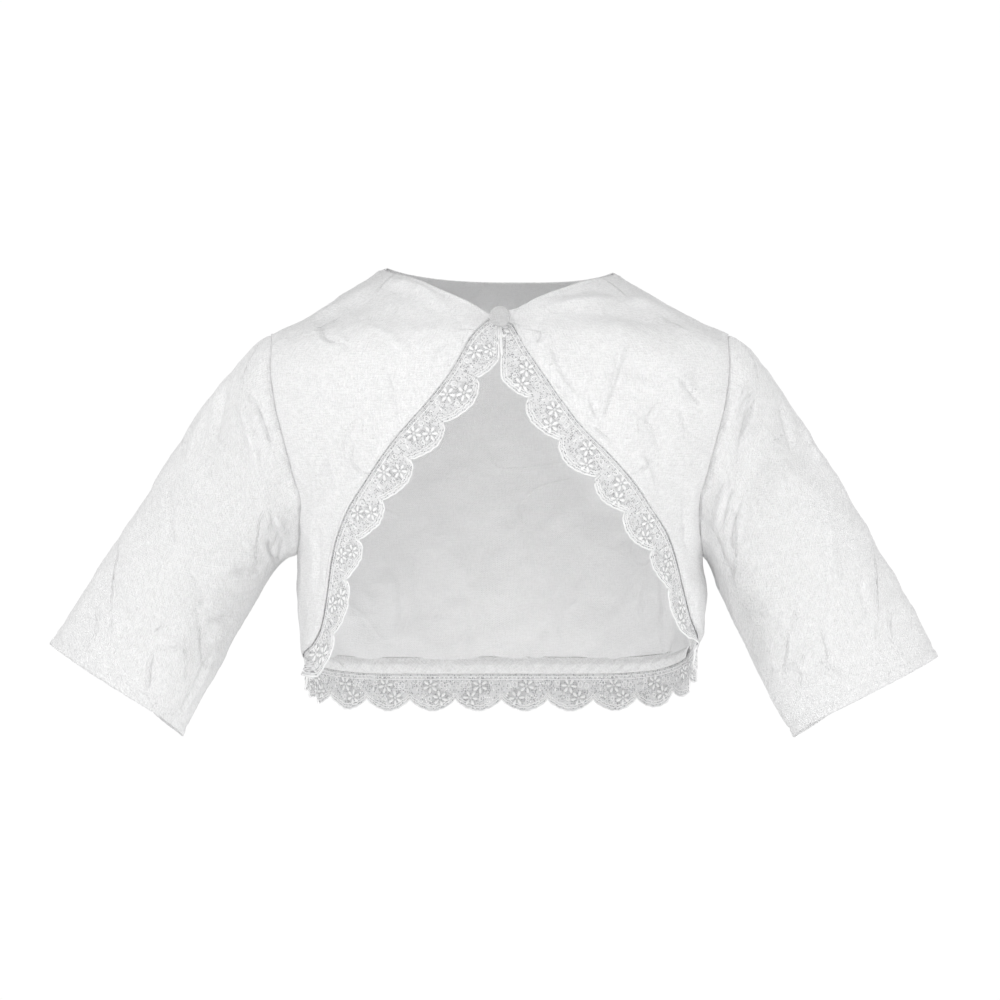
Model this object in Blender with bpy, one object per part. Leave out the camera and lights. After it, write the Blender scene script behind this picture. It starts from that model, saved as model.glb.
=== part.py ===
"""A girl's bolero in white linen, filled out as if worn, with a scalloped lace edging.

The cloth pieces are the back, two fronts and two sleeves. They are cut on one body form, which is
a stack of rounded sections, and each is a wall of cloth 1.2 mm thick. The lace is sewn under the
edges, a bias band covers its head inside the back hem, and a covered button with a loop closes
the neck.

The wearer faces -Y, so the wearer's right side is at -X. +Z is up, and the origin lies midway
between the two shoulder seams' neck ends. Tables are in millimetres, the model is in metres.
"""

import math

import bpy
import numpy as np

MM = 0.001

# Cloth and lace
CLOTH_THICK = 1.2
LACE_THICK = 1.0
BAND_THICK = 1.0
SEAM_GAP = 0.36
LAYER_GAP = 0.5

# Levels of the garment, down from the neck ends of the shoulder seams
SHOULDER_POINT_Z = -37.0
UNDERARM_Z = -158.0
HEM_CENTRE_Z = -228.5
HEM_SIDE_Z = {"right": -215.5, "left": -209.0}
BACK_NECK_DROP = 6.5
LEFT_SHOULDER_DROP = 2.6

# The side seam runs from the underarm to this far behind the side of the form, over this drop
SEAM_BACK = 22.0
SEAM_BEND = 66.0

# The body form: a section at each level, as half width, depths in front and behind, and how
# square its corners are (2 is an ellipse)
BODY_COLUMNS = ("level", "half_width", "front_depth", "back_depth", "squareness")
BODY = (
    (-254.0, 99.0, 72.0, 66.0, 2.35),
    (-240.0, 104.0, 73.5, 67.5, 2.35),
    (-224.0, 108.0, 75.0, 69.5, 2.35),
    (-205.0, 110.6, 76.0, 71.0, 2.35),
    (-175.0, 111.7, 76.0, 73.0, 2.35),
    (-158.0, 111.8, 75.5, 74.5, 2.35),
    (-145.0, 113.6, 75.0, 75.3, 2.34),
    (-131.0, 118.0, 74.2, 75.8, 2.30),
    (-115.0, 126.5, 72.6, 75.6, 2.24),
    (-97.0, 135.5, 70.0, 74.2, 2.17),
    (-75.0, 142.0, 66.0, 70.6, 2.10),
    (-55.0, 141.5, 60.8, 64.8, 2.05),
    (-45.0, 136.0, 57.4, 60.6, 2.02),
    (-37.0, 125.8, 54.2, 56.6, 2.00),
    (-30.0, 111.0, 51.0, 52.4, 2.00),
    (-20.0, 94.5, 46.0, 45.6, 2.00),
    (-10.0, 78.5, 40.0, 38.0, 2.00),
    (0.0, 62.4, 32.0, 30.0, 2.00),
)

# The armhole seam, as half width at each level from the underarm to the shoulder point
ARMHOLE_COLUMNS = ("level", "half_width")
ARMHOLE = (
    (-158.0, 111.8),
    (-145.0, 109.8),
    (-131.0, 109.6),
    (-115.0, 113.6),
    (-97.0, 118.4),
    (-76.0, 123.6),
    (-54.0, 126.3),
    (-37.0, 125.8),
)

# The front opening's cut edge from the neck to where it turns round the side. Across is the
# distance from the centre line, towards the wearer's right or left. The last stretch, of
# TURN_LENGTH, is the hem side of the front.
TURN_LENGTH = 56.0
EDGE_COLUMNS = ("across", "level")
FRONT_EDGE = {
    "right": (
        (4.0, -28.8),
        (8.4, -32.0),
        (14.9, -38.4),
        (24.0, -54.0),
        (37.7, -73.1),
        (56.4, -94.5),
        (72.2, -116.8),
        (84.0, -136.0),
        (91.2, -157.0),
        (94.9, -181.4),
        (98.0, -198.0),
        (103.4, -208.0),
    ),
    "left": (
        (-2.4, -26.8),
        (-2.0, -29.8),
        (0.6, -31.6),
        (6.0, -32.4),
        (9.0, -36.8),
        (13.8, -45.6),
        (25.5, -62.9),
        (42.6, -86.6),
        (59.7, -104.1),
        (79.8, -129.1),
        (94.4, -154.4),
        (101.6, -181.4),
        (105.2, -194.0),
        (108.6, -202.0),
    ),
}

# The front neckline between the shoulder seam's neck end and the front edge
NECKLINE = {
    "right": ((15.5, -21.5), (29.5, -15.0), (47.3, -7.2)),
    "left": ((6.7, -25.0), (20.5, -17.8), (34.6, -11.4), (48.8, -5.6)),
}

# Each sleeve, as the point over the arm and the point under it at shares of the length
SLEEVE_COLUMNS = ("share", "top_x", "top_z", "under_x", "under_z", "half_depth")
SLEEVE = {
    "right": (
        (0.00, 125.8, -37.0, 111.8, -158.0, 35.0),
        (0.04, 133.0, -41.0, 117.0, -160.6, 35.0),
        (0.13, 146.8, -55.5, 123.6, -166.4, 34.5),
        (0.31, 169.9, -85.2, 134.5, -183.0, 32.0),
        (0.56, 198.5, -130.0, 149.5, -209.0, 28.5),
        (0.78, 224.1, -169.4, 161.8, -233.2, 26.5),
        (1.00, 249.8, -208.5, 173.9, -256.6, 25.5),
    ),
    "left": (
        (0.00, 125.8, -37.0, 111.8, -158.0, 35.0),
        (0.04, 133.6, -40.4, 114.8, -162.2, 35.0),
        (0.13, 146.6, -54.6, 118.6, -171.0, 34.5),
        (0.31, 168.3, -86.5, 126.4, -189.2, 32.0),
        (0.56, 196.4, -132.6, 138.4, -214.0, 28.5),
        (0.78, 220.1, -173.8, 149.0, -236.0, 26.5),
        (1.00, 242.8, -215.5, 161.1, -257.1, 25.5),
    ),
}

# The sleeve head eases into the rings over this share of the length, and the cuff hangs lower
# behind, which starts at the other share
CAP_SHARE = 0.34
CUFF_BACK_DROP = 4.5
CUFF_DROP_START = 0.6

# The main folds, each a soft ridge or trough between two points of the front view. Side is -1
# on the front of the garment, 1 on its back and 0 where the fold goes round.
FOLD_COLUMNS = ("side", "from_x", "from_z", "to_x", "to_z", "half_width", "height")
BODY_FOLDS = (
    (-1, -112.0, -88.0, -62.0, -104.0, 13.0, -2.2),
    (-1, -104.0, -120.0, -97.0, -196.0, 6.0, 1.4),
    (-1, -88.0, -30.0, -46.0, -52.0, 10.0, 1.6),
    (-1, 112.0, -84.0, 70.0, -96.0, 13.0, -2.0),
    (-1, 103.0, -112.0, 107.0, -186.0, 6.0, 1.2),
    (-1, 84.0, -34.0, 40.0, -44.0, 10.0, 1.6),
    (0, 113.0, -166.0, 113.0, -214.0, 17.0, 2.4),
    (1, -105.0, -90.0, -50.0, -130.0, 14.0, -2.4),
    (1, 104.0, -92.0, 48.0, -128.0, 14.0, -2.2),
    (1, -40.0, -150.0, -46.0, -214.0, 11.0, 1.8),
    (1, 8.0, -120.0, 12.0, -212.0, 12.0, -1.6),
    (1, 58.0, -146.0, 62.0, -212.0, 11.0, 1.8),
    (1, 0.0, -26.0, 0.0, -62.0, 15.0, -1.4),
)
SLEEVE_FOLDS = {
    "right": (
        (-1, -150.0, -62.0, -160.0, -122.0, 8.0, -1.8),
        (-1, -138.0, -72.0, -124.0, -150.0, 8.0, 2.0),
        (-1, -126.0, -162.0, -164.0, -170.0, 8.0, 2.0),
        (-1, -142.0, -192.0, -180.0, -180.0, 8.0, -1.6),
        (-1, -160.0, -228.0, -202.0, -202.0, 9.0, 1.5),
        (1, -136.0, -80.0, -134.0, -150.0, 9.0, 2.2),
        (1, -140.0, -182.0, -186.0, -150.0, 10.0, -2.0),
        (1, -158.0, -218.0, -206.0, -186.0, 9.0, 1.6),
    ),
    "left": (
        (-1, 143.0, -66.0, 126.0, -120.0, 8.0, -1.8),
        (-1, 150.0, -84.0, 122.0, -148.0, 8.0, 2.2),
        (-1, 160.0, -68.0, 172.0, -124.0, 8.0, -1.8),
        (-1, 128.0, -178.0, 144.0, -218.0, 8.0, -1.6),
        (-1, 160.0, -214.0, 192.0, -236.0, 9.0, 1.6),
        (1, 138.0, -84.0, 130.0, -152.0, 9.0, 2.2),
        (1, 132.0, -186.0, 178.0, -148.0, 10.0, -2.0),
        (1, 150.0, -222.0, 200.0, -192.0, 9.0, 1.6),
    ),
}
# No fold reaches a seam or an edge: it fades out over this distance
FOLD_FADE = 9.0

# The lace edging. The first notch is measured along the front edge from the neck, and the hem's
# scallops run to both sides from a notch at the centre back.
LACE_NOTCH = 13.2
LACE_TIP = 20.8
LACE_HEAD = 4.0
LACE_ROUNDNESS = 1.7
LACE_RIPPLE = 0.9
LACE_START = {"right": 5.0, "left": 9.5, "back": 0.0}
LACE_CENTRE_GAP = 0.7
SCALLOP = {"right": 27.4, "left": 26.8, "back": 26.6}
FIRST_NOTCH = {"right": 36.4, "left": 27.0}
PEAK_SHARE = {"right": 0.38, "left": 0.38, "back": 0.5}
BAND_HEIGHT = 10.5

# How far the lace leans out of the cloth's plane, along the front edges
LEAN_COLUMNS = ("share", "degrees")
LACE_LEAN = {
    "right": ((0.0, 0.0), (0.55, 0.0), (0.68, 8.0), (0.8, 10.0), (0.9, 2.0), (1.0, 0.0)),
    "left": ((0.0, 0.0), (0.5, 0.0), (0.68, 8.0), (0.8, 20.0), (0.9, 8.0), (1.0, 0.0)),
    "back": ((0.0, 0.0), (1.0, 0.0)),
}

# The covered button and its loop
BUTTON_X = -0.1
BUTTON_Z = -30.3
BUTTON_RADIUS = 5.8
BUTTON_THICK = 4.4
SHANK_RADIUS = 1.0
SHANK_LENGTH = 2.1
LOOP_RADIUS = 0.6
LOOP_LEG = 5.6
LOOP_STEP = 1.4

# How finely each piece is divided
SIDE_ROWS = 6
ARMHOLE_ROWS = 14
SHOULDER_ROWS = 8
FRONT_COLUMNS = 16
BACK_COLUMNS = 30
SLEEVE_ROWS = 18
EDGE_CLOSENESS = 1.35
SLEEVE_CLOSENESS = 1.15
STEPS_IN_SCALLOP = 8
LACE_ROWS = 3
BAND_ROWS = 2
BUTTON_SIDES = 20


def clear_scene():
    for obj in list(bpy.data.objects):
        bpy.data.objects.remove(obj, do_unlink=True)


def column(table, columns, name):
    return np.array([row[columns.index(name)] for row in table], float)


def smooth_curve(knots, values, at):
    """A smooth curve through the values that doesn't overshoot them, read at each place in at."""
    knots = np.asarray(knots, float)
    values = np.asarray(values, float)
    at = np.clip(np.asarray(at, float), knots[0], knots[-1])
    steps = np.diff(knots)
    slopes = np.diff(values) / steps
    inner = np.zeros(len(knots))
    same_way = slopes[:-1] * slopes[1:] > 0
    weight_a = 2 * steps[1:] + steps[:-1]
    weight_b = steps[1:] + 2 * steps[:-1]
    safe = np.where(same_way, slopes[:-1] * slopes[1:], 1.0)
    mean = (weight_a + weight_b) * safe / (weight_a * slopes[1:] + weight_b * slopes[:-1] + 1e-12)
    inner[1:-1] = np.where(same_way, mean, 0.0)
    inner[0], inner[-1] = slopes[0], slopes[-1]
    i = np.clip(np.searchsorted(knots, at, side="right") - 1, 0, len(steps) - 1)
    t = (at - knots[i]) / steps[i]
    return (
        values[i] * (1 + 2 * t) * (1 - t) ** 2
        + inner[i] * steps[i] * t * (1 - t) ** 2
        + values[i + 1] * t**2 * (3 - 2 * t)
        + inner[i + 1] * steps[i] * t**2 * (t - 1)
    )


def smooth_step(x):
    x = np.clip(x, 0.0, 1.0)
    return x * x * (3 - 2 * x)


def body_at(level):
    """Half width, front depth, back depth and squareness of the body form at each level."""
    knots = column(BODY, BODY_COLUMNS, "level")
    return [smooth_curve(knots, column(BODY, BODY_COLUMNS, name), level) for name in BODY_COLUMNS[1:]]


def body_point(turn, level):
    """A point of the body form. Turn is the angle from the front centre, positive to the left."""
    half_width, front, back, square = body_at(level)
    sine, cosine = np.sin(turn), np.cos(turn)
    depth = np.where(cosine > 0, front, back)
    x = half_width * np.sign(sine) * np.abs(sine) ** (2 / square)
    y = -depth * np.sign(cosine) * np.abs(cosine) ** (2 / square)
    return np.stack([x, y, np.broadcast_to(level, x.shape)], axis=-1)


def turn_of(across, level):
    """The turn of a point of the form's front that lies this far across at a level."""
    half_width, _, _, square = body_at(level)
    share = np.clip(np.abs(across) / half_width, 0, 1)
    return np.sign(across) * np.arcsin(share ** (square / 2))


def turn_at_depth(depth, level):
    """The turn of a point on the left of the form this far behind its widest line."""
    _, front, back, square = body_at(level)
    reach = np.where(depth < 0, front, back)
    off = np.arcsin((np.abs(depth) / reach) ** (square / 2))
    return math.pi / 2 + np.sign(depth) * off


def seam_turn(level, of_front):
    """The turn of the side and shoulder seams, half a seam gap to a panel's own side of them."""
    share = smooth_step((UNDERARM_Z - level) / SEAM_BEND)
    half_gap = SEAM_GAP / 2 * (1 + 0.6 * np.sqrt(share * (1 - share)))
    return turn_at_depth(SEAM_BACK * share + (-half_gap if of_front else half_gap), level)


def length_along(points):
    return np.concatenate([[0], np.cumsum(np.linalg.norm(np.diff(points, axis=0), axis=1))])


def resampled(line, count, closeness=1.0):
    """Count + 1 places along a line of (turn, level) places, evenly spaced by true length, or
    closer together towards its end where closeness is over 1."""
    along = length_along(body_point(line[:, 0], line[:, 1]))
    at = along[-1] * (1 - np.linspace(1, 0, count + 1) ** closeness)
    return np.stack([np.interp(at, along, line[:, k]) for k in (0, 1)], axis=1)


def through(places, steps=240):
    """A dense smooth line through a few (turn, level) places."""
    places = np.asarray(places, float)
    along = length_along(body_point(places[:, 0], places[:, 1]))
    at = np.linspace(0, along[-1], steps)
    return np.stack([smooth_curve(along, places[:, k], at) for k in (0, 1)], axis=1)


def hem_level(turn, side):
    """The hem's level behind the widest line of the form, on one side."""
    rise = (1 - np.abs(np.cos(turn))) ** 2
    return HEM_CENTRE_Z + (HEM_SIDE_Z[side] - HEM_CENTRE_Z) * rise


def hem_corner(side, of_front):
    """Where the side seam meets the hem, as turn and level on the wearer's left."""
    level = HEM_SIDE_Z[side]
    for _ in range(12):
        level = hem_level(seam_turn(level, of_front), side)
    return seam_turn(level, of_front), level


def front_edge(side):
    """The front's whole free edge, from the neck corner to the side seam."""
    across = column(FRONT_EDGE[side], EDGE_COLUMNS, "across")
    level = column(FRONT_EDGE[side], EDGE_COLUMNS, "level")
    places = list(zip(turn_of(across, level), level))
    places += [(math.pi / 2, HEM_SIDE_Z[side]), hem_corner(side, True)]
    return through(places)


def armhole_line(of_front):
    """The armhole seam's half in front or behind, from the underarm to the shoulder point."""
    levels = UNDERARM_Z + (SHOULDER_POINT_Z - UNDERARM_Z) * (1 - np.cos(np.linspace(0, math.pi, 200))) / 2
    across = smooth_curve(
        column(ARMHOLE, ARMHOLE_COLUMNS, "level"), column(ARMHOLE, ARMHOLE_COLUMNS, "half_width"), levels
    )
    turns = turn_of(across, levels)
    seam = seam_turn(levels[[0, -1]], True)
    turns = np.minimum(turns, seam.max())
    turns[[0, -1]] = seam
    return np.stack([turns if of_front else math.pi - turns, levels], axis=1)


def seam_side(side, of_front):
    """The side edge of a front or of the back: side seam, armhole and shoulder seam, upwards."""
    low = np.linspace(hem_corner(side, of_front)[1], UNDERARM_Z, 60)
    high = np.linspace(SHOULDER_POINT_Z, 0, 60)
    return np.concatenate(
        [
            resampled(np.stack([seam_turn(low, of_front), low], axis=1), SIDE_ROWS),
            resampled(armhole_line(of_front), ARMHOLE_ROWS)[1:],
            resampled(np.stack([seam_turn(high, of_front), high], axis=1), SHOULDER_ROWS)[1:],
        ]
    )


def coons(bottom, top, start, end):
    """A net of places that fills the space between four edges."""
    u = np.linspace(0, 1, len(bottom))[None, :, None]
    v = np.linspace(0, 1, len(start))[:, None, None]
    ruled = (1 - v) * bottom[None] + v * top[None] + (1 - u) * start[:, None] + u * end[:, None]
    corners = (
        (1 - u) * (1 - v) * bottom[0]
        + u * (1 - v) * bottom[-1]
        + (1 - u) * v * top[0]
        + u * v * top[-1]
    )
    return ruled - corners


def front_net(side):
    """The front's places, rows from the hem to the neckline, columns from the edge to the side."""
    edge = front_edge(side)
    along = length_along(body_point(edge[:, 0], edge[:, 1]))
    turn_round = int(np.searchsorted(along, along[-1] - TURN_LENGTH))
    rows = SIDE_ROWS + ARMHOLE_ROWS + SHOULDER_ROWS
    start = resampled(edge[: turn_round + 1][::-1], rows, EDGE_CLOSENESS)
    bottom = resampled(edge[turn_round:], FRONT_COLUMNS)
    end = seam_side(side, True)
    across, level = np.array(NECKLINE[side], float).T
    places = [start[-1], *np.stack([turn_of(across, level), level], axis=1), end[-1]]
    top = resampled(through(places), FRONT_COLUMNS)
    return coons(bottom, top, start, end)


def back_net():
    """The back's places, rows from the hem to the neckline, columns from left to right side."""
    left = seam_side("left", False)
    right = seam_side("right", False) * [-1, 1] + [2 * math.pi, 0]
    turns = np.linspace(left[0, 0], right[0, 0], 241)
    levels = np.where(turns < math.pi, hem_level(turns, "left"), hem_level(turns, "right"))
    bottom = resampled(np.stack([turns, levels], axis=1), BACK_COLUMNS)
    turns = np.linspace(left[-1, 0], right[-1, 0], 200)
    top = resampled(np.stack([turns, -BACK_NECK_DROP * np.cos(turns) ** 2], axis=1), BACK_COLUMNS)
    return coons(bottom, top, left, right)


def mirrored(points):
    """The same points on the wearer's right."""
    return points * [-1.0, 1.0, 1.0]


def normals_of(net, closed):
    """Unit normals of a net of points. Closed nets join their last column to their first."""
    if closed:
        along = np.roll(net, -1, axis=1) - np.roll(net, 1, axis=1)
    else:
        along = np.gradient(net, axis=1)
    normal = np.cross(along, np.gradient(net, axis=0))
    return normal / np.linalg.norm(normal, axis=-1, keepdims=True)


def fold_height(points, normals, folds):
    """How far the folds lift or sink each point of the cloth."""
    height = np.zeros(points.shape[:-1])
    for side, x0, z0, x1, z1, half_width, rise in folds:
        along = np.array([x1 - x0, z1 - z0])
        long = np.linalg.norm(along)
        off = points[..., [0, 2]] - [x0, z0]
        share = off @ along / long**2
        away = np.abs(off @ [-along[1], along[0]]) / long
        ends = smooth_step(share * 3) * smooth_step((1 - share) * 3)
        facing = smooth_step(side * normals[..., 1] * 1.6) if side else 1.0
        height += rise * ends * facing * np.exp(-((away / half_width) ** 2))
    return height


def edge_fade(net, sides):
    """From 0 at the named edges of a net to 1 well inside it."""
    fade = np.ones(net.shape[:-1])
    steps_across = np.linalg.norm(np.diff(net, axis=1), axis=-1)
    across = np.concatenate([np.zeros((len(net), 1)), np.cumsum(steps_across, axis=1)], axis=1)
    steps_up = np.linalg.norm(np.diff(net, axis=0), axis=-1)
    up = np.concatenate([np.zeros((1, net.shape[1])), np.cumsum(steps_up, axis=0)], axis=0)
    distances = {
        "start": across,
        "end": across[:, -1:] - across,
        "bottom": up,
        "top": up[-1:] - up,
    }
    for name in sides:
        fade *= smooth_step(distances[name] / FOLD_FADE)
    return fade[..., None]


def folded(net, folds, closed, sides):
    """The net with its folds, and its normals."""
    normals = normals_of(net, closed)
    net = net + normals * fold_height(net, normals, folds)[..., None] * edge_fade(net, sides)
    return net, normals_of(net, closed)


def flatness(points, pairs):
    """How nearly the two triangles of each pair lie in one plane: 1 where they do."""
    corners = points[pairs]
    normals = np.cross(corners[..., 1, :] - corners[..., 0, :], corners[..., 2, :] - corners[..., 0, :])
    normals /= np.linalg.norm(normals, axis=-1, keepdims=True)
    return (normals[:, 0] * normals[:, 1]).sum(-1)


def wall_faces(net, closed):
    """Triangles of a wall whose outer points come first and then its inner ones, in rows. Each
    square of the net is split along the diagonal that bends it least."""
    rows, columns = net.shape[:2]
    outer = np.arange(rows * columns).reshape(rows, columns)
    if closed:
        outer = np.concatenate([outer, outer[:, :1]], axis=1)
    inner = outer + rows * columns
    points = net.reshape(-1, 3)
    corners = [outer[:-1, :-1], outer[:-1, 1:], outer[1:, 1:], outer[1:, :-1]]
    a, b, c, d = [corner.reshape(-1) for corner in corners]
    one_way = np.stack([a, b, c, a, c, d], -1).reshape(-1, 2, 3)
    other_way = np.stack([a, b, d, b, c, d], -1).reshape(-1, 2, 3)
    flatter = flatness(points, one_way) >= flatness(points, other_way)
    faces = np.where(flatter[:, None, None], one_way, other_way).reshape(-1, 3)
    faces = [faces, faces[:, ::-1] + rows * columns]

    def rim(line, other):
        faces.append(np.stack([line[:-1], other[:-1], other[1:]], -1))
        faces.append(np.stack([line[:-1], other[1:], line[1:]], -1))

    rim(outer[0], inner[0])
    rim(outer[-1][::-1], inner[-1][::-1])
    if not closed:
        rim(outer[:, 0][::-1], inner[:, 0][::-1])
        rim(outer[:, -1], inner[:, -1])
    return np.concatenate(faces)


def settled(vertices):
    """The wearer's left shoulder sits a little lower at the neck than the right one."""
    vertices = np.array(vertices, float)
    share = smooth_step(vertices[:, 0] / 60) * smooth_step(vertices[:, 2] / 40 + 1)
    vertices[:, 2] -= LEFT_SHOULDER_DROP * share
    return vertices


def add_mesh(name, vertices, faces, material):
    mesh = bpy.data.meshes.new(name)
    mesh.from_pydata((settled(vertices) * MM).tolist(), [], [tuple(f) for f in faces])
    mesh.update()
    mesh.shade_smooth()
    mesh.materials.append(material)
    obj = bpy.data.objects.new(name, mesh)
    bpy.context.scene.collection.objects.link(obj)
    return obj


def add_wall(name, net, offsets, closed, material, flip=False):
    """A wall of cloth: the net moved out and in by its offsets, and closed round the rim."""
    vertices = np.concatenate([(net + offsets).reshape(-1, 3), (net - offsets).reshape(-1, 3)])
    faces = wall_faces(net, closed)
    return add_mesh(name, vertices, faces[:, ::-1] if flip else faces, material)


def material_of(name, colour, roughness):
    material = bpy.data.materials.new(name)
    material.use_nodes = True
    shader = material.node_tree.nodes["Principled BSDF"]
    shader.inputs["Base Color"].default_value = (*colour, 1)
    shader.inputs["Roughness"].default_value = roughness
    shader.inputs["Metallic"].default_value = 0
    return material


def sleeve_net(side, armhole):
    """Rings of the sleeve from the armhole to the cuff, on the wearer's left.

    The ring starts at the shoulder point and runs down the front, under the arm and up the back.
    """
    table = SLEEVE[side]
    shares = column(table, SLEEVE_COLUMNS, "share")
    rings = np.linspace(0, 1, SLEEVE_ROWS + 1) ** SLEEVE_CLOSENESS
    read = {n: smooth_curve(shares, column(table, SLEEVE_COLUMNS, n), rings) for n in SLEEVE_COLUMNS[1:]}
    levels = armhole[:, 2]
    upper = 2 * (levels - UNDERARM_Z) / (SHOULDER_POINT_Z - UNDERARM_Z) - 1
    lift = np.clip(upper, -1, 1)[None, :]
    sweep = np.sign(armhole[:, 1])[None, :] * np.sqrt(1 - lift**2)
    top = np.stack([read["top_x"], 0 * rings, read["top_z"]], axis=-1)[:, None]
    under = np.stack([read["under_x"], 0 * rings, read["under_z"]], axis=-1)[:, None]
    net = (top + under) / 2 + (top - under) / 2 * lift[..., None]
    net[..., 1] += read["half_depth"][:, None] * sweep
    cap = 1 - smooth_step(rings / CAP_SHARE)
    net = net + cap[:, None, None] * (armhole - net[0])[None]
    down = (top - under)[..., [2, 1, 0]] * [-1, 0, 1]
    down = down / np.linalg.norm(down, axis=-1, keepdims=True)
    drop = CUFF_BACK_DROP * smooth_step((sweep * 1.2 + 1.1) / 1.4) * smooth_step((0.1 - lift) / 0.9)
    reach = smooth_step((rings - CUFF_DROP_START) / (1 - CUFF_DROP_START))[:, None] * drop
    return net - down * reach[..., None]


def joined_armhole(front_normals, back_normals, sleeve, sleeve_normals):
    """Where the panels and the sleeve meet: shared offsets for both walls, and the sleeve's shift."""
    low, high = SIDE_ROWS, SIDE_ROWS + ARMHOLE_ROWS + 1
    body = np.concatenate([front_normals[low:high, -1][::-1], back_normals[low:high][1:-1]])
    body[0] += back_normals[high - 1]
    body[ARMHOLE_ROWS] += back_normals[low]
    body /= np.linalg.norm(body, axis=-1, keepdims=True)
    mean = body + sleeve_normals[0]
    mean /= np.linalg.norm(mean, axis=-1, keepdims=True)
    share = np.clip((mean * body).sum(-1, keepdims=True), 0.62, 1)
    offsets = mean * CLOTH_THICK / 2 / share
    ring = sleeve[0]
    tangent = np.roll(ring, -1, axis=0) - np.roll(ring, 1, axis=0)
    out = np.cross(tangent, mean)
    out /= np.linalg.norm(out, axis=-1, keepdims=True)
    out *= np.sign((out * (sleeve[1] - sleeve[0])).sum(-1, keepdims=True))
    low_share = smooth_step((UNDERARM_Z + 16 - ring[:, 2:]) / 16)
    return offsets, out * SEAM_GAP * (1 + low_share)


def panel_of(places, folds):
    points = body_point(places[..., 0], places[..., 1])
    points, normals = folded(points, folds, False, ("start", "end", "bottom", "top"))
    return {"points": points, "normals": normals}


def on_left(folds, side):
    """A side's folds as they would lie on the wearer's left, where both sides are worked out."""
    sign = 1 if side == "left" else -1
    return [(face, sign * x0, z0, sign * x1, z1, wide, rise) for face, x0, z0, x1, z1, wide, rise in folds]


def build_side(side, panels, material):
    """One side's front and sleeve. Returns the offsets that the back's wall shares with them."""
    low, high = SIDE_ROWS, SIDE_ROWS + ARMHOLE_ROWS + 1
    front = panels[side]
    back = {name: panels["back"][name][:, 0] for name in ("points", "normals")}
    if side == "right":
        back = {name: mirrored(panels["back"][name][:, -1]) for name in back}
    armhole = np.concatenate([front["points"][low:high, -1][::-1], back["points"][low:high][1:-1]])
    armhole[[0, ARMHOLE_ROWS], 1] = 0
    sleeve = sleeve_net(side, armhole)
    sleeve, sleeve_normals = folded(sleeve, on_left(SLEEVE_FOLDS[side], side), True, ("bottom",))
    offsets, shift = joined_armhole(front["normals"], back["normals"], sleeve, sleeve_normals)
    front_offsets = front["normals"] * CLOTH_THICK / 2
    front_offsets[low:high, -1] = offsets[: ARMHOLE_ROWS + 1][::-1]
    sleeve_offsets = sleeve_normals * CLOTH_THICK / 2
    sleeve_offsets[0] = offsets
    sleeve[0] += shift
    points, flip = front["points"], side == "right"
    if flip:
        points, front_offsets = mirrored(points), mirrored(front_offsets)
        sleeve, sleeve_offsets = mirrored(sleeve), mirrored(sleeve_offsets)
    add_wall(f"front_{side}", points, front_offsets, False, material, flip)
    add_wall(f"sleeve_{side}", sleeve, sleeve_offsets, True, material, flip)
    return np.concatenate([offsets[ARMHOLE_ROWS:], offsets[:1]])


def build_back(panel, armhole_offsets, material):
    offsets = panel["normals"] * CLOTH_THICK / 2
    low, high = SIDE_ROWS, SIDE_ROWS + ARMHOLE_ROWS + 1
    offsets[low:high, 0] = armhole_offsets["left"]
    offsets[low:high, -1] = mirrored(armhole_offsets["right"])
    add_wall("back", panel["points"], offsets, False, material)


def free_edge(panel, name):
    """A panel's free edge and, for each of its points, the panel's next point inside it."""
    rows, columns = panel["points"].shape[:2]
    row, col = np.zeros(columns, int), np.arange(columns)
    inner_row, inner_col = np.ones(columns, int), col.copy()
    if name != "back":
        row = np.concatenate([np.arange(rows - 1, 0, -1), row])
        col = np.concatenate([np.zeros(rows - 1, int), col])
        inner_row = np.concatenate([np.arange(rows - 1, 0, -1), inner_row])
        inner_col = np.concatenate([np.ones(rows - 1, int), np.maximum(inner_col, 1)])
    return {
        "point": panel["points"][row, col],
        "normal": panel["normals"][row, col],
        "inner_point": panel["points"][inner_row, inner_col],
        "inner_normal": panel["normals"][inner_row, inner_col],
    }


def read_along(edge, at):
    """The edge's values at these distances along it."""
    along = length_along(edge["point"])
    return {
        name: np.stack([np.interp(at, along, values[:, k]) for k in range(values.shape[1])], axis=1)
        for name, values in edge.items()
    }


def beside_edge(edge, across, lift):
    """Points this far past the edge (or inside it where across is negative), and lift mm off it.

    Inside the edge they lie on the panel's own points. Past it they carry on straight.
    """
    away = np.cross(np.gradient(edge["point"], axis=0), edge["normal"])
    away /= np.linalg.norm(away, axis=-1, keepdims=True)
    inward = edge["inner_point"] - edge["point"]
    share = (-across / np.linalg.norm(inward, axis=-1))[..., None]
    inside = edge["point"] + inward * share
    normal = edge["normal"] + (edge["inner_normal"] - edge["normal"]) * np.clip(share, 0, 1)
    normal /= np.linalg.norm(normal, axis=-1, keepdims=True)
    past = edge["point"] + away * across[..., None]
    return np.where(across[..., None] < 0, inside, past) + normal * lift[..., None]


def scallop_reach(share, peak):
    """How far the lace reaches past the edge at this share of a scallop, which peaks at peak."""
    swing = np.abs(2 * share ** (math.log(0.5) / math.log(peak)) - 1)
    rise = (1 - swing**LACE_ROUNDNESS) ** (1 / LACE_ROUNDNESS)
    return LACE_NOTCH + (LACE_TIP - LACE_NOTCH) * rise


def room_at_centre(edge, reach):
    """How far the lace can reach, up to reach, before it comes to the centre line."""
    low, high = np.zeros(reach.shape), reach * 1.0
    for _ in range(14):
        middle = (low + high) / 2
        clear = beside_edge(edge, middle[None], 0 * middle[None])[0, :, 0] > LACE_CENTRE_GAP
        low, high = np.where(clear, middle, low), np.where(clear, high, middle)
    return low


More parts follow.
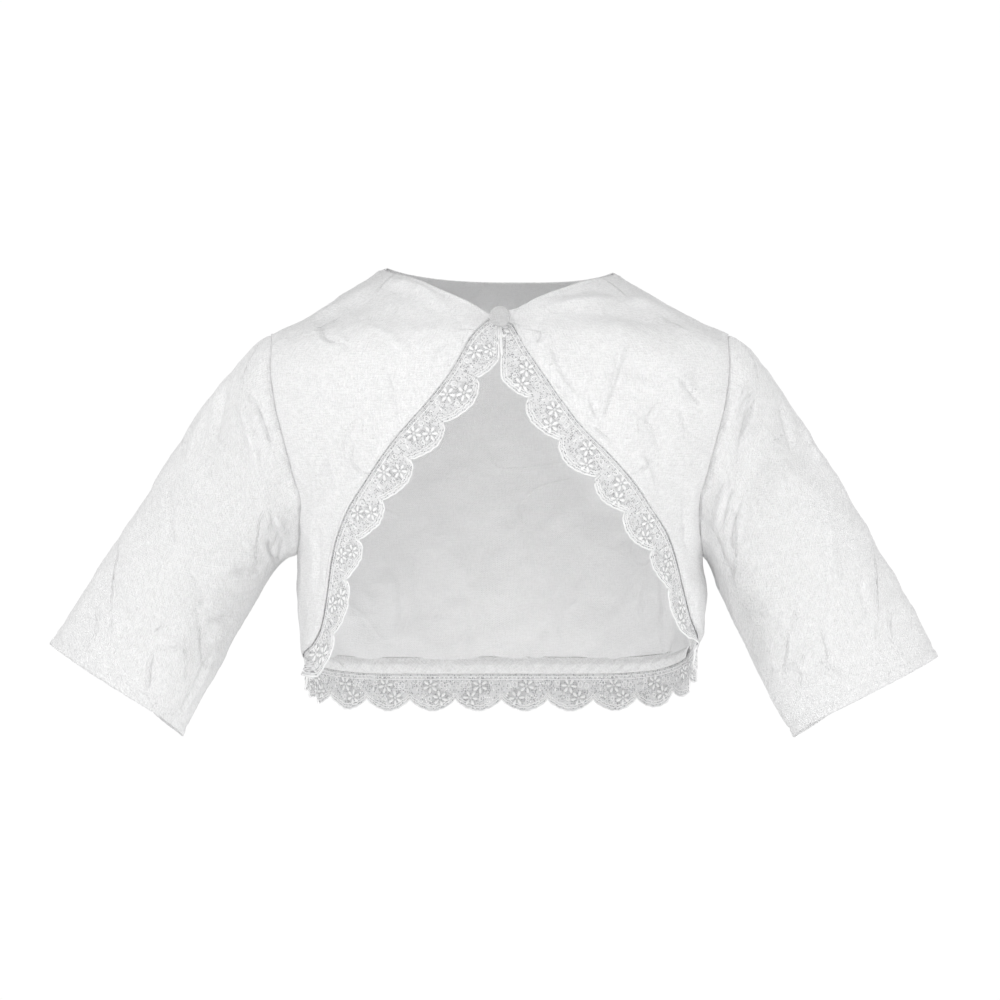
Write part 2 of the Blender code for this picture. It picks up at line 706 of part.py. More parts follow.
def lace_net(edge, name):
    """The lace under a panel's free edge, rows from its head to the scallops."""
    pitch = SCALLOP[name]
    whole = length_along(edge["point"])[-1]
    notch = whole / 2 if name == "back" else FIRST_NOTCH[name]
    start = LACE_START[name]
    steps = np.arange(-20 * STEPS_IN_SCALLOP, 20 * STEPS_IN_SCALLOP) * pitch / STEPS_IN_SCALLOP + notch
    inner = steps[(steps > start + 1) & (steps < whole - 1)]
    at = np.concatenate([[start], inner, [whole]])
    phase = (at - notch) / pitch + 1e-9
    edge = read_along(edge, at)
    reach = scallop_reach(phase % 1, PEAK_SHARE[name])
    if name != "back":
        reach = np.minimum(reach, room_at_centre(edge, reach))
    past = reach[None] * np.linspace(0, 1, LACE_ROWS)[:, None]
    table = LACE_LEAN[name]
    lean = np.radians(
        smooth_curve(
            column(table, LEAN_COLUMNS, "share"), column(table, LEAN_COLUMNS, "degrees"), at / whole
        )
    )
    across = np.concatenate([np.full((1, len(reach)), -LACE_HEAD), past * np.cos(lean)])
    loose = (past / LACE_TIP) ** 2
    wave = LACE_RIPPLE * loose * np.sin(2 * math.pi * phase)
    lift = np.concatenate([np.zeros((1, len(reach))), wave + past * np.sin(lean)])
    return beside_edge(edge, across, lift - CLOTH_THICK / 2 - LAYER_GAP - LACE_THICK / 2)


def build_lace(panels, material):
    for side in ("right", "left"):
        net = lace_net(free_edge(panels[side], side), side)
        offsets = normals_of(net, False) * LACE_THICK / 2
        flip = side == "right"
        if flip:
            net, offsets = mirrored(net), mirrored(offsets)
        add_wall(f"lace_front_{side}", net, offsets, False, material, flip)
    net = lace_net(free_edge(panels["back"], "back"), "back")
    add_wall("lace_back", net, normals_of(net, False) * LACE_THICK / 2, False, material)


def build_band(panels, material):
    """The bias band inside the back hem, which covers the head of the lace."""
    edge = free_edge(panels["back"], "back")
    across = np.linspace(-0.4, -BAND_HEIGHT, BAND_ROWS + 1)[:, None] + np.zeros(BACK_COLUMNS + 1)
    inward = CLOTH_THICK / 2 + LACE_THICK + BAND_THICK / 2 + 2 * LAYER_GAP
    net = beside_edge(edge, across, np.full(across.shape, -inward))
    add_wall("hem_band", net, -normals_of(net, False) * BAND_THICK / 2, False, material, True)


def build_button(material):
    """A covered button on a shank. It stands on the left front, next to the centre."""
    turn = turn_of(np.full(3, BUTTON_X), np.full(3, BUTTON_Z)) + [-0.02, 0, 0.02]
    patch = body_point(*np.meshgrid(turn, BUTTON_Z + np.array([-1.0, 0, 1.0])))
    normal = normals_of(patch, False)[1, 1]
    foot = patch[1, 1] + normal * (CLOTH_THICK / 2 + LAYER_GAP)
    out = normal + [0, -1, 0]
    out /= np.linalg.norm(out)
    dome = [
        (BUTTON_RADIUS * math.cos(a), SHANK_LENGTH + BUTTON_THICK * (0.32 + 0.68 * math.sin(a)))
        for a in np.linspace(0, math.pi / 2, 7)[:-1]
    ]
    profile = [
        (SHANK_RADIUS, 0.0),
        (SHANK_RADIUS, SHANK_LENGTH),
        (BUTTON_RADIUS * 0.8, SHANK_LENGTH),
        (BUTTON_RADIUS * 0.97, SHANK_LENGTH + 0.14 * BUTTON_THICK),
        *dome,
    ]
    side = np.cross(out, [0, 0, 1.0])
    side /= np.linalg.norm(side)
    up = np.cross(side, out)
    vertices = [foot]
    for radius, height in profile:
        for k in range(BUTTON_SIDES):
            a = 2 * math.pi * k / BUTTON_SIDES
            vertices.append(foot + out * height + (side * math.cos(a) + up * math.sin(a)) * radius)
    vertices.append(foot + out * (SHANK_LENGTH + BUTTON_THICK))
    top = len(vertices) - 1
    faces = []
    for k in range(BUTTON_SIDES):
        n = (k + 1) % BUTTON_SIDES
        rings = [(1 + r * BUTTON_SIDES + k, 1 + r * BUTTON_SIDES + n) for r in range(len(profile))]
        faces.append((0, rings[0][0], rings[0][1]))
        faces += [(a, c, d, b) for (a, b), (c, d) in zip(rings[:-1], rings[1:])]
        faces.append((rings[-1][0], top, rings[-1][1]))
    add_mesh("button", vertices, faces, material)
    return foot, out, side


def build_loop(foot, out, side, material):
    """The loop, sewn to the right front, that goes round the button's shank."""
    bend = SHANK_RADIUS + LOOP_RADIUS + SEAM_GAP
    up = np.cross(side, out)
    away = side if side[0] > 0 else -side
    leg = [foot - away * (LOOP_LEG - LOOP_STEP * k) for k in range(4)]
    route = [point + up * bend for point in leg]
    route += [
        foot + away * bend * math.sin(a) + up * bend * math.cos(a)
        for a in np.linspace(0, math.pi, 9)[1:-1]
    ]
    route += [point - up * bend for point in leg[::-1]]
    curve = bpy.data.curves.new("button_loop", "CURVE")
    curve.dimensions = "3D"
    curve.bevel_depth = LOOP_RADIUS * MM
    curve.bevel_resolution = 2
    curve.use_fill_caps = True
    spline = curve.splines.new("POLY")
    spline.points.add(len(route) - 1)
    for point, place in zip(spline.points, route):
        point.co = (*((place + out * LOOP_RADIUS) * MM), 1)
    curve.materials.append(material)
    obj = bpy.data.objects.new("button_loop", curve)
    bpy.context.scene.collection.objects.link(obj)


def main():
    clear_scene()
    linen = material_of("linen", (0.86, 0.86, 0.85), 0.9)
    lace = material_of("lace", (0.9, 0.9, 0.89), 0.85)
    thread = material_of("thread", (0.88, 0.88, 0.87), 0.7)
    panels = {side: panel_of(front_net(side), on_left(BODY_FOLDS, side)) for side in ("right", "left")}
    panels["back"] = panel_of(back_net(), BODY_FOLDS)
    armhole_offsets = {side: build_side(side, panels, linen) for side in ("right", "left")}
    build_back(panels["back"], armhole_offsets, linen)
    build_lace(panels, lace)
    build_band(panels, linen)
    foot, out, side = build_button(linen)
    build_loop(foot, out, side, thread)


main()
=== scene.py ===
"""How a girl's white linen bolero looks: woven cloth, seams, stitches and embroidered lace.

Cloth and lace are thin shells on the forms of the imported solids, so the tables of their sizes are
repeated here. Tables are in millimetres. The wearer faces -Y, with their left at +X.
"""

import math

import bpy
import numpy as np
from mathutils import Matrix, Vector


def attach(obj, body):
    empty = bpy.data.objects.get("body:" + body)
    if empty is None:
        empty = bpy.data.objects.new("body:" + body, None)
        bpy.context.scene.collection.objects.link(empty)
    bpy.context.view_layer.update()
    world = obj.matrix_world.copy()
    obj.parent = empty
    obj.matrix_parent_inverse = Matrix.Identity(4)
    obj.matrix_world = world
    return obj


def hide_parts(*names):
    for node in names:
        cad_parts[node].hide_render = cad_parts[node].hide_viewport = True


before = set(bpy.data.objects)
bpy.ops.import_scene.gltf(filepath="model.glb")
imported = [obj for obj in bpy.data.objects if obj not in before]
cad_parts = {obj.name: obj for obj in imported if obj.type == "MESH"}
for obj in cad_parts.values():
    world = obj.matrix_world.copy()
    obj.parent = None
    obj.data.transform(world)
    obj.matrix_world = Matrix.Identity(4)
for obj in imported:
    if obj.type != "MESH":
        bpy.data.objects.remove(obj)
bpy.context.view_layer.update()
MM = 0.001

# The wearer's sides
SIDES = ("right", "left")

# How thick the solids' cloth is, and the gaps at seams and between layers
CLOTH_THICK = 1.2
SEAM_GAP = 0.36
# The gap at the armhole grows to twice its width over this height above the underarm, and fades out
# along the sleeve over this distance
WIDER_GAP_HEIGHT = 16.0
GAP_FADE = 7.0
LAYER_GAP = 0.5

# Levels of the garment, down from the neck ends of the shoulder seams
SHOULDER_POINT_Z = -37.0
UNDERARM_Z = -158.0
HEM_CENTRE_Z = -228.5
HEM_SIDE_Z = {"right": -215.5, "left": -209.0}
BACK_NECK_DROP = 6.5

# The left shoulder's neck end is lower than the right one. The drop grows over these distances.
LEFT_SHOULDER_DROP = 2.6
DROP_ACROSS = 60.0
DROP_DOWN = 40.0

# The side seam runs from the underarm to this far behind the side of the form, over this drop
SEAM_BACK = 22.0
SEAM_BEND = 66.0
# Where it bends, its gap is widened by this much, because the seam slants there
SLANT_ALLOWANCE = 0.6

# The body form: a section at each level, as half width, depths in front and behind, and how
# square its corners are (2 is an ellipse)
BODY_COLUMNS = ("level", "half_width", "front_depth", "back_depth", "squareness")
BODY = (
    (-254.0, 99.0, 72.0, 66.0, 2.35),
    (-240.0, 104.0, 73.5, 67.5, 2.35),
    (-224.0, 108.0, 75.0, 69.5, 2.35),
    (-205.0, 110.6, 76.0, 71.0, 2.35),
    (-175.0, 111.7, 76.0, 73.0, 2.35),
    (-158.0, 111.8, 75.5, 74.5, 2.35),
    (-145.0, 113.6, 75.0, 75.3, 2.34),
    (-131.0, 118.0, 74.2, 75.8, 2.30),
    (-115.0, 126.5, 72.6, 75.6, 2.24),
    (-97.0, 135.5, 70.0, 74.2, 2.17),
    (-75.0, 142.0, 66.0, 70.6, 2.10),
    (-55.0, 141.5, 60.8, 64.8, 2.05),
    (-45.0, 136.0, 57.4, 60.6, 2.02),
    (-37.0, 125.8, 54.2, 56.6, 2.00),
    (-30.0, 111.0, 51.0, 52.4, 2.00),
    (-20.0, 94.5, 46.0, 45.6, 2.00),
    (-10.0, 78.5, 40.0, 38.0, 2.00),
    (0.0, 62.4, 32.0, 30.0, 2.00),
)

# The armhole seam, as half width at each level from the underarm to the shoulder point
ARMHOLE_COLUMNS = ("level", "half_width")
ARMHOLE = (
    (-158.0, 111.8),
    (-145.0, 109.8),
    (-131.0, 109.6),
    (-115.0, 113.6),
    (-97.0, 118.4),
    (-76.0, 123.6),
    (-54.0, 126.3),
    (-37.0, 125.8),
)

# The front opening's cut edge from the neck to where it turns round the side. Across is the
# distance from the centre line, towards the wearer's right or left. The last stretch, of
# TURN_LENGTH, is the hem side of the front.
TURN_LENGTH = 56.0
EDGE_COLUMNS = ("across", "level")
FRONT_EDGE = {
    "right": (
        (4.0, -28.8),
        (8.4, -32.0),
        (14.9, -38.4),
        (24.0, -54.0),
        (37.7, -73.1),
        (56.4, -94.5),
        (72.2, -116.8),
        (84.0, -136.0),
        (91.2, -157.0),
        (94.9, -181.4),
        (98.0, -198.0),
        (103.4, -208.0),
    ),
    "left": (
        (-2.4, -26.8),
        (-2.0, -29.8),
        (0.6, -31.6),
        (6.0, -32.4),
        (9.0, -36.8),
        (13.8, -45.6),
        (25.5, -62.9),
        (42.6, -86.6),
        (59.7, -104.1),
        (79.8, -129.1),
        (94.4, -154.4),
        (101.6, -181.4),
        (105.2, -194.0),
        (108.6, -202.0),
    ),
}

# The front neckline between the shoulder seam's neck end and the front edge
NECKLINE = {
    "right": ((15.5, -21.5), (29.5, -15.0), (47.3, -7.2)),
    "left": ((6.7, -25.0), (20.5, -17.8), (34.6, -11.4), (48.8, -5.6)),
}

# Each sleeve, as the point over the arm and the point under it at shares of the length
SLEEVE_COLUMNS = ("share", "top_x", "top_z", "under_x", "under_z", "half_depth")
SLEEVE = {
    "right": (
        (0.00, 125.8, -37.0, 111.8, -158.0, 35.0),
        (0.04, 133.0, -41.0, 117.0, -160.6, 35.0),
        (0.13, 146.8, -55.5, 123.6, -166.4, 34.5),
        (0.31, 169.9, -85.2, 134.5, -183.0, 32.0),
        (0.56, 198.5, -130.0, 149.5, -209.0, 28.5),
        (0.78, 224.1, -169.4, 161.8, -233.2, 26.5),
        (1.00, 249.8, -208.5, 173.9, -256.6, 25.5),
    ),
    "left": (
        (0.00, 125.8, -37.0, 111.8, -158.0, 35.0),
        (0.04, 133.6, -40.4, 114.8, -162.2, 35.0),
        (0.13, 146.6, -54.6, 118.6, -171.0, 34.5),
        (0.31, 168.3, -86.5, 126.4, -189.2, 32.0),
        (0.56, 196.4, -132.6, 138.4, -214.0, 28.5),
        (0.78, 220.1, -173.8, 149.0, -236.0, 26.5),
        (1.00, 242.8, -215.5, 161.1, -257.1, 25.5),
    ),
}

# The sleeve head eases into the rings over this share of the length, and the cuff hangs lower
# behind, which starts at the other share
CAP_SHARE = 0.34
CUFF_BACK_DROP = 4.5
CUFF_DROP_START = 0.6

# The main folds, each a soft ridge or trough between two points of the front view. The columns are
# side, the first point's x and z, the second point's x and z, half width, and height. Side is -1 on
# the front of the garment, 1 on its back and 0 where the fold goes round.
BODY_FOLDS = (
    (-1, -112.0, -88.0, -62.0, -104.0, 13.0, -2.2),
    (-1, -104.0, -120.0, -97.0, -196.0, 6.0, 1.4),
    (-1, -88.0, -30.0, -46.0, -52.0, 10.0, 1.6),
    (-1, 112.0, -84.0, 70.0, -96.0, 13.0, -2.0),
    (-1, 103.0, -112.0, 107.0, -186.0, 6.0, 1.2),
    (-1, 84.0, -34.0, 40.0, -44.0, 10.0, 1.6),
    (0, 113.0, -166.0, 113.0, -214.0, 17.0, 2.4),
    (1, -105.0, -90.0, -50.0, -130.0, 14.0, -2.4),
    (1, 104.0, -92.0, 48.0, -128.0, 14.0, -2.2),
    (1, -40.0, -150.0, -46.0, -214.0, 11.0, 1.8),
    (1, 8.0, -120.0, 12.0, -212.0, 12.0, -1.6),
    (1, 58.0, -146.0, 62.0, -212.0, 11.0, 1.8),
    (1, 0.0, -26.0, 0.0, -62.0, 15.0, -1.4),
)
SLEEVE_FOLDS = {
    "right": (
        (-1, -150.0, -62.0, -160.0, -122.0, 8.0, -1.8),
        (-1, -138.0, -72.0, -124.0, -150.0, 8.0, 2.0),
        (-1, -126.0, -162.0, -164.0, -170.0, 8.0, 2.0),
        (-1, -142.0, -192.0, -180.0, -180.0, 8.0, -1.6),
        (-1, -160.0, -228.0, -202.0, -202.0, 9.0, 1.5),
        (1, -136.0, -80.0, -134.0, -150.0, 9.0, 2.2),
        (1, -140.0, -182.0, -186.0, -150.0, 10.0, -2.0),
        (1, -158.0, -218.0, -206.0, -186.0, 9.0, 1.6),
    ),
    "left": (
        (-1, 143.0, -66.0, 126.0, -120.0, 8.0, -1.8),
        (-1, 150.0, -84.0, 122.0, -148.0, 8.0, 2.2),
        (-1, 160.0, -68.0, 172.0, -124.0, 8.0, -1.8),
        (-1, 128.0, -178.0, 144.0, -218.0, 8.0, -1.6),
        (-1, 160.0, -214.0, 192.0, -236.0, 9.0, 1.6),
        (1, 138.0, -84.0, 130.0, -152.0, 9.0, 2.2),
        (1, 132.0, -186.0, 178.0, -148.0, 10.0, -2.0),
        (1, 150.0, -222.0, 200.0, -192.0, 9.0, 1.6),
    ),
}
# No fold reaches a seam or an edge: it fades out over this distance
FOLD_FADE = 9.0
# Folds and creases fade towards their own ends, the faster the higher the first two numbers are, and
# where the cloth turns away from their side
FOLD_ENDS = 3.0
CREASE_ENDS = 3.5
FACING = 1.6

# The lace edging. The first notch is measured along the front edge from the neck, and the hem's
# scallops run to both sides from a notch at the centre back.
LACE_NOTCH = 13.2
LACE_TIP = 20.8
LACE_HEAD = 4.0
LACE_ROUNDNESS = 1.5
LOBES = 6
LOBE_HEIGHT = 0.5
# It ripples with its scallops, and flutters a little at a shorter wavelength. The surface that the
# work is bent onto goes on past the tips by a margin.
LACE_RIPPLE = 0.9
LACE_FLUTTER = 0.25
LACE_MARGIN = 2.01
LACE_START = {"right": 5.0, "left": 9.5, "back": 0.0}
LACE_CENTRE_GAP = 0.7
SCALLOP = {"right": 27.4, "left": 26.8, "back": 26.6}
FIRST_NOTCH = {"right": 36.4, "left": 27.0}
PEAK_SHARE = {"right": 0.38, "left": 0.38, "back": 0.5}

# How far the lace leans out of the cloth's plane, along the front edges
LEAN_COLUMNS = ("share", "degrees")
LACE_LEAN = {
    "right": ((0.0, 0.0), (0.55, 0.0), (0.68, 8.0), (0.8, 10.0), (0.9, 2.0), (1.0, 0.0)),
    "left": ((0.0, 0.0), (0.5, 0.0), (0.68, 8.0), (0.8, 20.0), (0.9, 8.0), (1.0, 0.0)),
    "back": ((0.0, 0.0), (1.0, 0.0)),
}

# The covered button and its loop
BUTTON_X = -0.1
BUTTON_Z = -30.3
BUTTON_RADIUS = 5.8
BUTTON_THICK = 4.4
# Its widest place is this share up its thickness. Its underside has these shares of its radius and
# of its thickness.
BUTTON_RIM = 0.34
BUTTON_UNDERSIDE = ((0.6, 0.0), (0.84, 0.0), (0.95, 0.12))
# Its cover is drawn in by this much, in this many gathers, from this share of its radius outwards
GATHER_DEPTH = 0.1
GATHERS = 17
GATHER_START = 0.7
SHANK_RADIUS = 1.0
SHANK_LENGTH = 2.1
LOOP_RADIUS = 0.6
LOOP_LEG = 5.6
# The loop's thread has two plies, which stand out by this share and turn this much for each radius
PLIES = 2
PLY_DEPTH = 0.16
PLY_TWIST = 0.9

# The shells are thinner than the solids' walls, and lie on their middle surfaces
CLOTH_SHELL = 0.6
LACE_SHELL = 0.24
BAND_SHELL = 0.5
LACE_BEHIND = 1.15
# The front laces start this much nearer the button than their solids do, so that no gap shows there
LACE_MORE = {"right": 4.2, "left": 3.2, "back": 0.0}

# Seams are grooves with slanting puckers beside them. The one under the arm has a share of that.
SEAM_DIP = 0.8
SEAM_WIDTH = 1.1
SLEEVE_SEAM_SHARE = 0.8
PUCKER_PITCH = 3.2
PUCKER_HEIGHT = 0.2
PUCKER_REACH = 3.6
PUCKER_SLANT = 0.35

# The allowance turned in behind a seam: its depth, the shares of that where it has rows of points,
# and how it grows from the hem and tapers off at the neck
ALLOWANCE = 4.0
ALLOWANCE_ROWS = (0.16, 0.45, 1.0)
ALLOWANCE_FROM = 3.0
ALLOWANCE_GROWTH = 14.0
ALLOWANCE_TAPER = 8.0
ALLOWANCE_LEAST = 0.02
TUCK = 0.18

# Edges are turned under and sewn this far in. Their stitches pull the cloth down into a groove, which
# is deeper and wider at the cuffs, with puckers to both sides.
NECK_HEM = 2.6
FRONT_HEMS = {"start": 2.2, "bottom": 2.2, "top": NECK_HEM}
BACK_HEMS = {"bottom": 2.4, "top": NECK_HEM}
CUFF_HEM = 5.8
HEM_DIP = 0.22
HEM_SPREAD = 0.8
CUFF_DIP = 0.6
CUFF_SPREAD = 1.3
HEM_SLANT = 0.5
HEM_REACH = 2.2

# Stitches show as short thread ends on the cloth
STITCH_LENGTH = 1.5
STITCH_PITCH = 2.5
STITCH_RADIUS = 0.14
STITCH_START = 1.5
STITCH_SECTIONS = 5
STITCH_LIFT = CLOTH_SHELL / 2 - HEM_DIP

# No crease reaches a seam or an edge: it fades out over this distance
CREASE_FADE = 4.0
CREASE_STEPS = 8
# The heights in the tables are raised this many times, in front (-1) and behind (1)
CREASE_STRENGTH = {-1: 3.0, 1: 1.6}
# Each crease is a ridge or a trough with a softer opposite beside it: the opposite's share of the
# height, and how far off and how wide it is, in widths of the crease
OPPOSITE_SHARE = 0.45
OPPOSITE_OFF = 1.9
OPPOSITE_WIDTH = 1.5

# The fine creases. The columns are side, as for the folds, the x and z of three points of the front
# view, width, and height.
BODY_CREASES = (
    (-1, -111.0, -32.0, -88.0, -19.5, -65.0, -10.5, 3.0, 0.9),
    (-1, -65.0, -10.5, -44.0, -13.0, -25.0, -30.0, 2.6, 0.8),
    (-1, -97.4, -30.0, -95.5, -40.0, -86.3, -43.0, 1.5, -0.6),
    (-1, -86.0, -40.0, -83.0, -42.5, -80.0, -46.0, 1.2, 0.5),
    (-1, -64.0, -56.0, -57.0, -72.0, -55.8, -92.0, 2.0, -0.5),
    (-1, -28.0, -45.0, -31.0, -49.0, -35.0, -55.0, 1.4, 0.5),
    (-1, -94.6, -106.0, -96.5, -118.0, -97.4, -131.0, 1.5, -0.6),
    (-1, -92.0, -104.0, -90.5, -114.0, -88.0, -124.0, 1.4, 0.5),
    (-1, -83.5, -93.0, -82.0, -102.0, -82.6, -113.0, 1.5, 0.5),
    (-1, -104.0, -66.0, -94.0, -74.0, -80.0, -78.0, 3.2, -0.6),
    (-1, -72.0, -92.0, -80.0, -104.0, -84.0, -122.0, 2.2, -0.5),
    (-1, -74.0, -36.0, -60.0, -40.0, -49.0, -52.0, 2.6, 0.5),
    (-1, -101.0, -140.0, -99.0, -160.0, -101.0, -184.0, 1.8, -0.6),
    (-1, 22.5, -25.0, 44.0, -19.0, 65.0, -17.8, 2.8, 0.8),
    (-1, 65.0, -17.8, 88.0, -22.0, 109.6, -37.0, 3.0, 0.9),
    (-1, 30.0, -30.0, 52.0, -26.0, 78.0, -29.0, 3.4, -0.5),
    (-1, 70.8, -38.0, 59.0, -66.0, 49.7, -96.0, 1.1, 0.6),
    (-1, 26.4, -41.0, 31.0, -61.0, 46.9, -78.0, 1.5, 0.8),
    (-1, 22.0, -34.0, 22.0, -40.0, 18.5, -44.0, 1.3, -0.5),
    (-1, 46.9, -74.0, 51.0, -80.0, 53.5, -88.0, 1.4, -0.6),
    (-1, 96.3, -58.0, 103.0, -69.0, 111.3, -77.0, 1.4, -0.9),
    (-1, 88.5, -75.0, 82.0, -80.0, 77.4, -91.0, 1.3, -0.5),
    (-1, 93.0, -78.0, 97.5, -86.0, 98.5, -94.0, 1.3, 0.5),
    (-1, 75.0, -104.0, 80.5, -113.0, 83.0, -124.0, 1.5, 0.5),
    (-1, 60.0, -60.0, 76.0, -66.0, 90.0, -64.0, 3.2, 0.5),
    (-1, 103.0, -118.0, 100.5, -138.0, 103.5, -160.0, 1.8, -0.6),
    (1, -108.0, -40.0, -84.0, -28.0, -60.0, -18.0, 3.2, 0.9),
    (1, 108.0, -42.0, 86.0, -30.0, 58.0, -20.0, 3.2, 0.9),
    (1, -112.0, -78.0, -92.0, -96.0, -66.0, -104.0, 2.4, -0.8),
    (1, 110.0, -74.0, 88.0, -94.0, 64.0, -98.0, 2.4, -0.8),
    (1, -104.0, -112.0, -92.0, -128.0, -86.0, -150.0, 1.8, 0.7),
    (1, 100.0, -118.0, 92.0, -134.0, 90.0, -156.0, 1.8, 0.7),
    (1, -58.0, -52.0, -42.0, -66.0, -20.0, -70.0, 2.6, -0.6),
    (1, 66.0, -58.0, 44.0, -66.0, 26.0, -78.0, 2.4, 0.6),
    (1, -66.0, -166.0, -60.0, -188.0, -64.0, -208.0, 2.2, -0.7),
    (1, -22.0, -178.0, -16.0, -194.0, -18.0, -216.0, 2.0, 0.6),
    (1, 36.0, -170.0, 30.0, -190.0, 34.0, -212.0, 2.2, -0.7),
    (1, 82.0, -172.0, 78.0, -188.0, 82.0, -206.0, 2.0, 0.6),
    (1, 92.0, -160.0, 93.0, -186.0, 92.5, -224.0, 1.9, -1.5),
)
SLEEVE_CREASES = {
    "right": (
        (-1, -149.6, -63.0, -154.5, -82.0, -155.7, -101.0, 1.9, -0.8),
        (-1, -145.1, -72.0, -137.5, -93.0, -132.9, -115.0, 1.7, 0.9),
        (-1, -136.3, -72.0, -129.0, -86.0, -124.0, -101.0, 1.7, -0.8),
        (-1, -185.0, -116.0, -180.0, -136.0, -179.0, -159.0, 2.2, -0.6),
        (-1, -160.0, -76.0, -168.0, -92.0, -171.0, -112.0, 2.4, 0.6),
        (-1, -127.4, -150.0, -126.5, -157.0, -122.5, -163.5, 1.3, -0.9),
        (-1, -119.5, -149.0, -121.0, -157.0, -122.5, -163.5, 1.3, -0.9),
        (-1, -123.5, -138.0, -120.0, -144.0, -115.5, -149.0, 1.3, 0.8),
        (-1, -150.1, -168.5, -141.0, -168.5, -130.7, -164.5, 1.6, -0.8),
        (-1, -148.0, -178.0, -139.0, -177.5, -131.5, -173.0, 1.6, 0.7),
        (-1, -161.8, -195.5, -152.0, -193.5, -142.4, -187.5, 1.6, -0.6),
        (-1, -161.8, -208.0, -155.0, -205.0, -149.0, -199.0, 1.5, 0.6),
        (-1, -190.0, -203.0, -187.0, -199.0, -182.0, -195.0, 1.3, -0.6),
        (-1, -188.5, -209.0, -180.0, -208.0, -171.0, -204.5, 1.4, 0.6),
        (-1, -189.5, -212.0, -192.5, -224.0, -191.8, -236.0, 1.6, -0.6),
        (-1, -178.0, -249.0, -169.0, -232.0, -157.0, -210.0, 1.0, -0.8),
        (-1, -212.0, -172.0, -204.0, -182.0, -198.0, -196.0, 2.4, 0.5),
        (-1, -176.0, -160.0, -166.0, -176.0, -163.0, -192.0, 2.6, -0.5),
        (1, -146.0, -70.0, -136.0, -90.0, -132.0, -116.0, 2.0, 0.8),
        (1, -156.0, -76.0, -150.0, -96.0, -150.0, -118.0, 2.0, -0.7),
        (1, -124.0, -150.0, -134.0, -160.0, -150.0, -160.0, 1.6, -0.9),
        (1, -132.0, -172.0, -146.0, -176.0, -160.0, -168.0, 1.7, 0.7),
        (1, -150.0, -200.0, -166.0, -200.0, -180.0, -188.0, 1.8, -0.6),
        (1, -200.0, -160.0, -192.0, -176.0, -190.0, -196.0, 2.2, 0.6),
    ),
    "left": (
        (-1, 135.7, -63.0, 128.5, -78.0, 123.5, -95.0, 1.7, 0.8),
        (-1, 142.0, -70.0, 134.0, -86.0, 129.5, -106.0, 1.8, -0.7),
        (-1, 153.5, -71.0, 157.0, -87.0, 162.3, -104.0, 1.8, -0.7),
        (-1, 165.0, -80.0, 171.0, -96.0, 178.0, -108.0, 2.2, 0.6),
        (-1, 128.5, -116.0, 122.0, -128.0, 118.5, -143.0, 1.6, 0.8),
        (-1, 134.0, -128.0, 128.5, -142.0, 127.5, -158.0, 1.6, -0.7),
        (-1, 120.0, -150.0, 124.0, -162.0, 131.0, -170.0, 1.5, -0.7),
        (-1, 132.0, -184.0, 141.0, -190.0, 152.0, -191.0, 1.7, 0.6),
        (-1, 170.7, -216.0, 180.5, -221.0, 189.5, -229.0, 1.5, 0.6),
        (-1, 174.5, -199.0, 179.0, -209.0, 180.7, -222.0, 1.5, -0.6),
        (-1, 198.0, -168.0, 199.0, -182.0, 205.0, -196.0, 2.0, -0.5),
        (-1, 184.0, -140.0, 182.0, -158.0, 186.0, -176.0, 2.6, 0.5),
        (-1, 152.0, -214.0, 160.0, -222.0, 170.0, -226.0, 1.8, -0.5),
        (1, 144.0, -70.0, 135.0, -90.0, 130.0, -116.0, 2.0, 0.8),
        (1, 156.0, -78.0, 152.0, -98.0, 152.0, -118.0, 2.0, -0.7),
        (1, 122.0, -156.0, 132.0, -166.0, 148.0, -164.0, 1.6, -0.9),
        (1, 130.0, -182.0, 144.0, -184.0, 158.0, -174.0, 1.7, 0.7),
        (1, 146.0, -208.0, 162.0, -206.0, 176.0, -194.0, 1.8, -0.6),
        (1, 196.0, -160.0, 190.0, -178.0, 190.0, -198.0, 2.2, 0.6),
    ),
}

# The cloth is never quite flat: uneven patches of these sizes and heights, each the sum of a few
# waves whose lengths vary and which bend
RUMPLES = ((34.0, 0.7), (13.0, 0.3), (5.5, 0.08))
RUMPLE_WAVES = 6
RUMPLE_LENGTHS = (0.7, 1.6)
RUMPLE_BEND_LENGTH = 2.4
RUMPLE_BEND = 1.6

# The lace's ground is a net of six-sided meshes, closed where the embroidery fills it
NET_PITCH = 1.3
NET_HOLE = 0.55
NET_OPEN_SHARE = {"right": 0.6, "left": 0.6, "back": 0.25}
# Meshes with their middles past the border by up to this share of a mesh are kept, and cut off there
NET_OVERLAP = 0.2
# Meshes stay closed this near the border, or in the row along the head this near
CLOSED_BORDER = 1.2
CLOSED_BORDER_HEAD = 1.0
# They stay closed this near the ends and within this many sizes of a daisy's middle, and from this
# far past the edge on, within this share of a scallop of a notch
CLOSED_END = 1.0
CLOSED_DAISY = 1.2
NOTCH_DEPTH = 5.0
CLOSED_NOTCH = 0.09
# The net is darker with painted shadow within this many sizes of a daisy's middle
DAISY_SHADOW_REACH = 1.05

# The row of holes along the lace's head starts this far past the edge of the cloth, and has a cord
# on either side, at these distances from there
HEADER = 1.1
HEADER_CORDS = (-0.3, 1.5)
HEADER_RADIUS = 0.28
HEADER_STEP = 1.4

# The border's twisted cord, and the lines of stitches that follow it at these distances inside
CORD_STEP = 0.7
CORD_RADIUS = 0.47
CORD_SWELL = 0.2
CORD_TWIST = 1.5
FILL_LINES = (1.7, 3.1)
FILL_RADIUS = 0.3
FILL_SWAY = 0.18
FILL_WAVE = 2.3

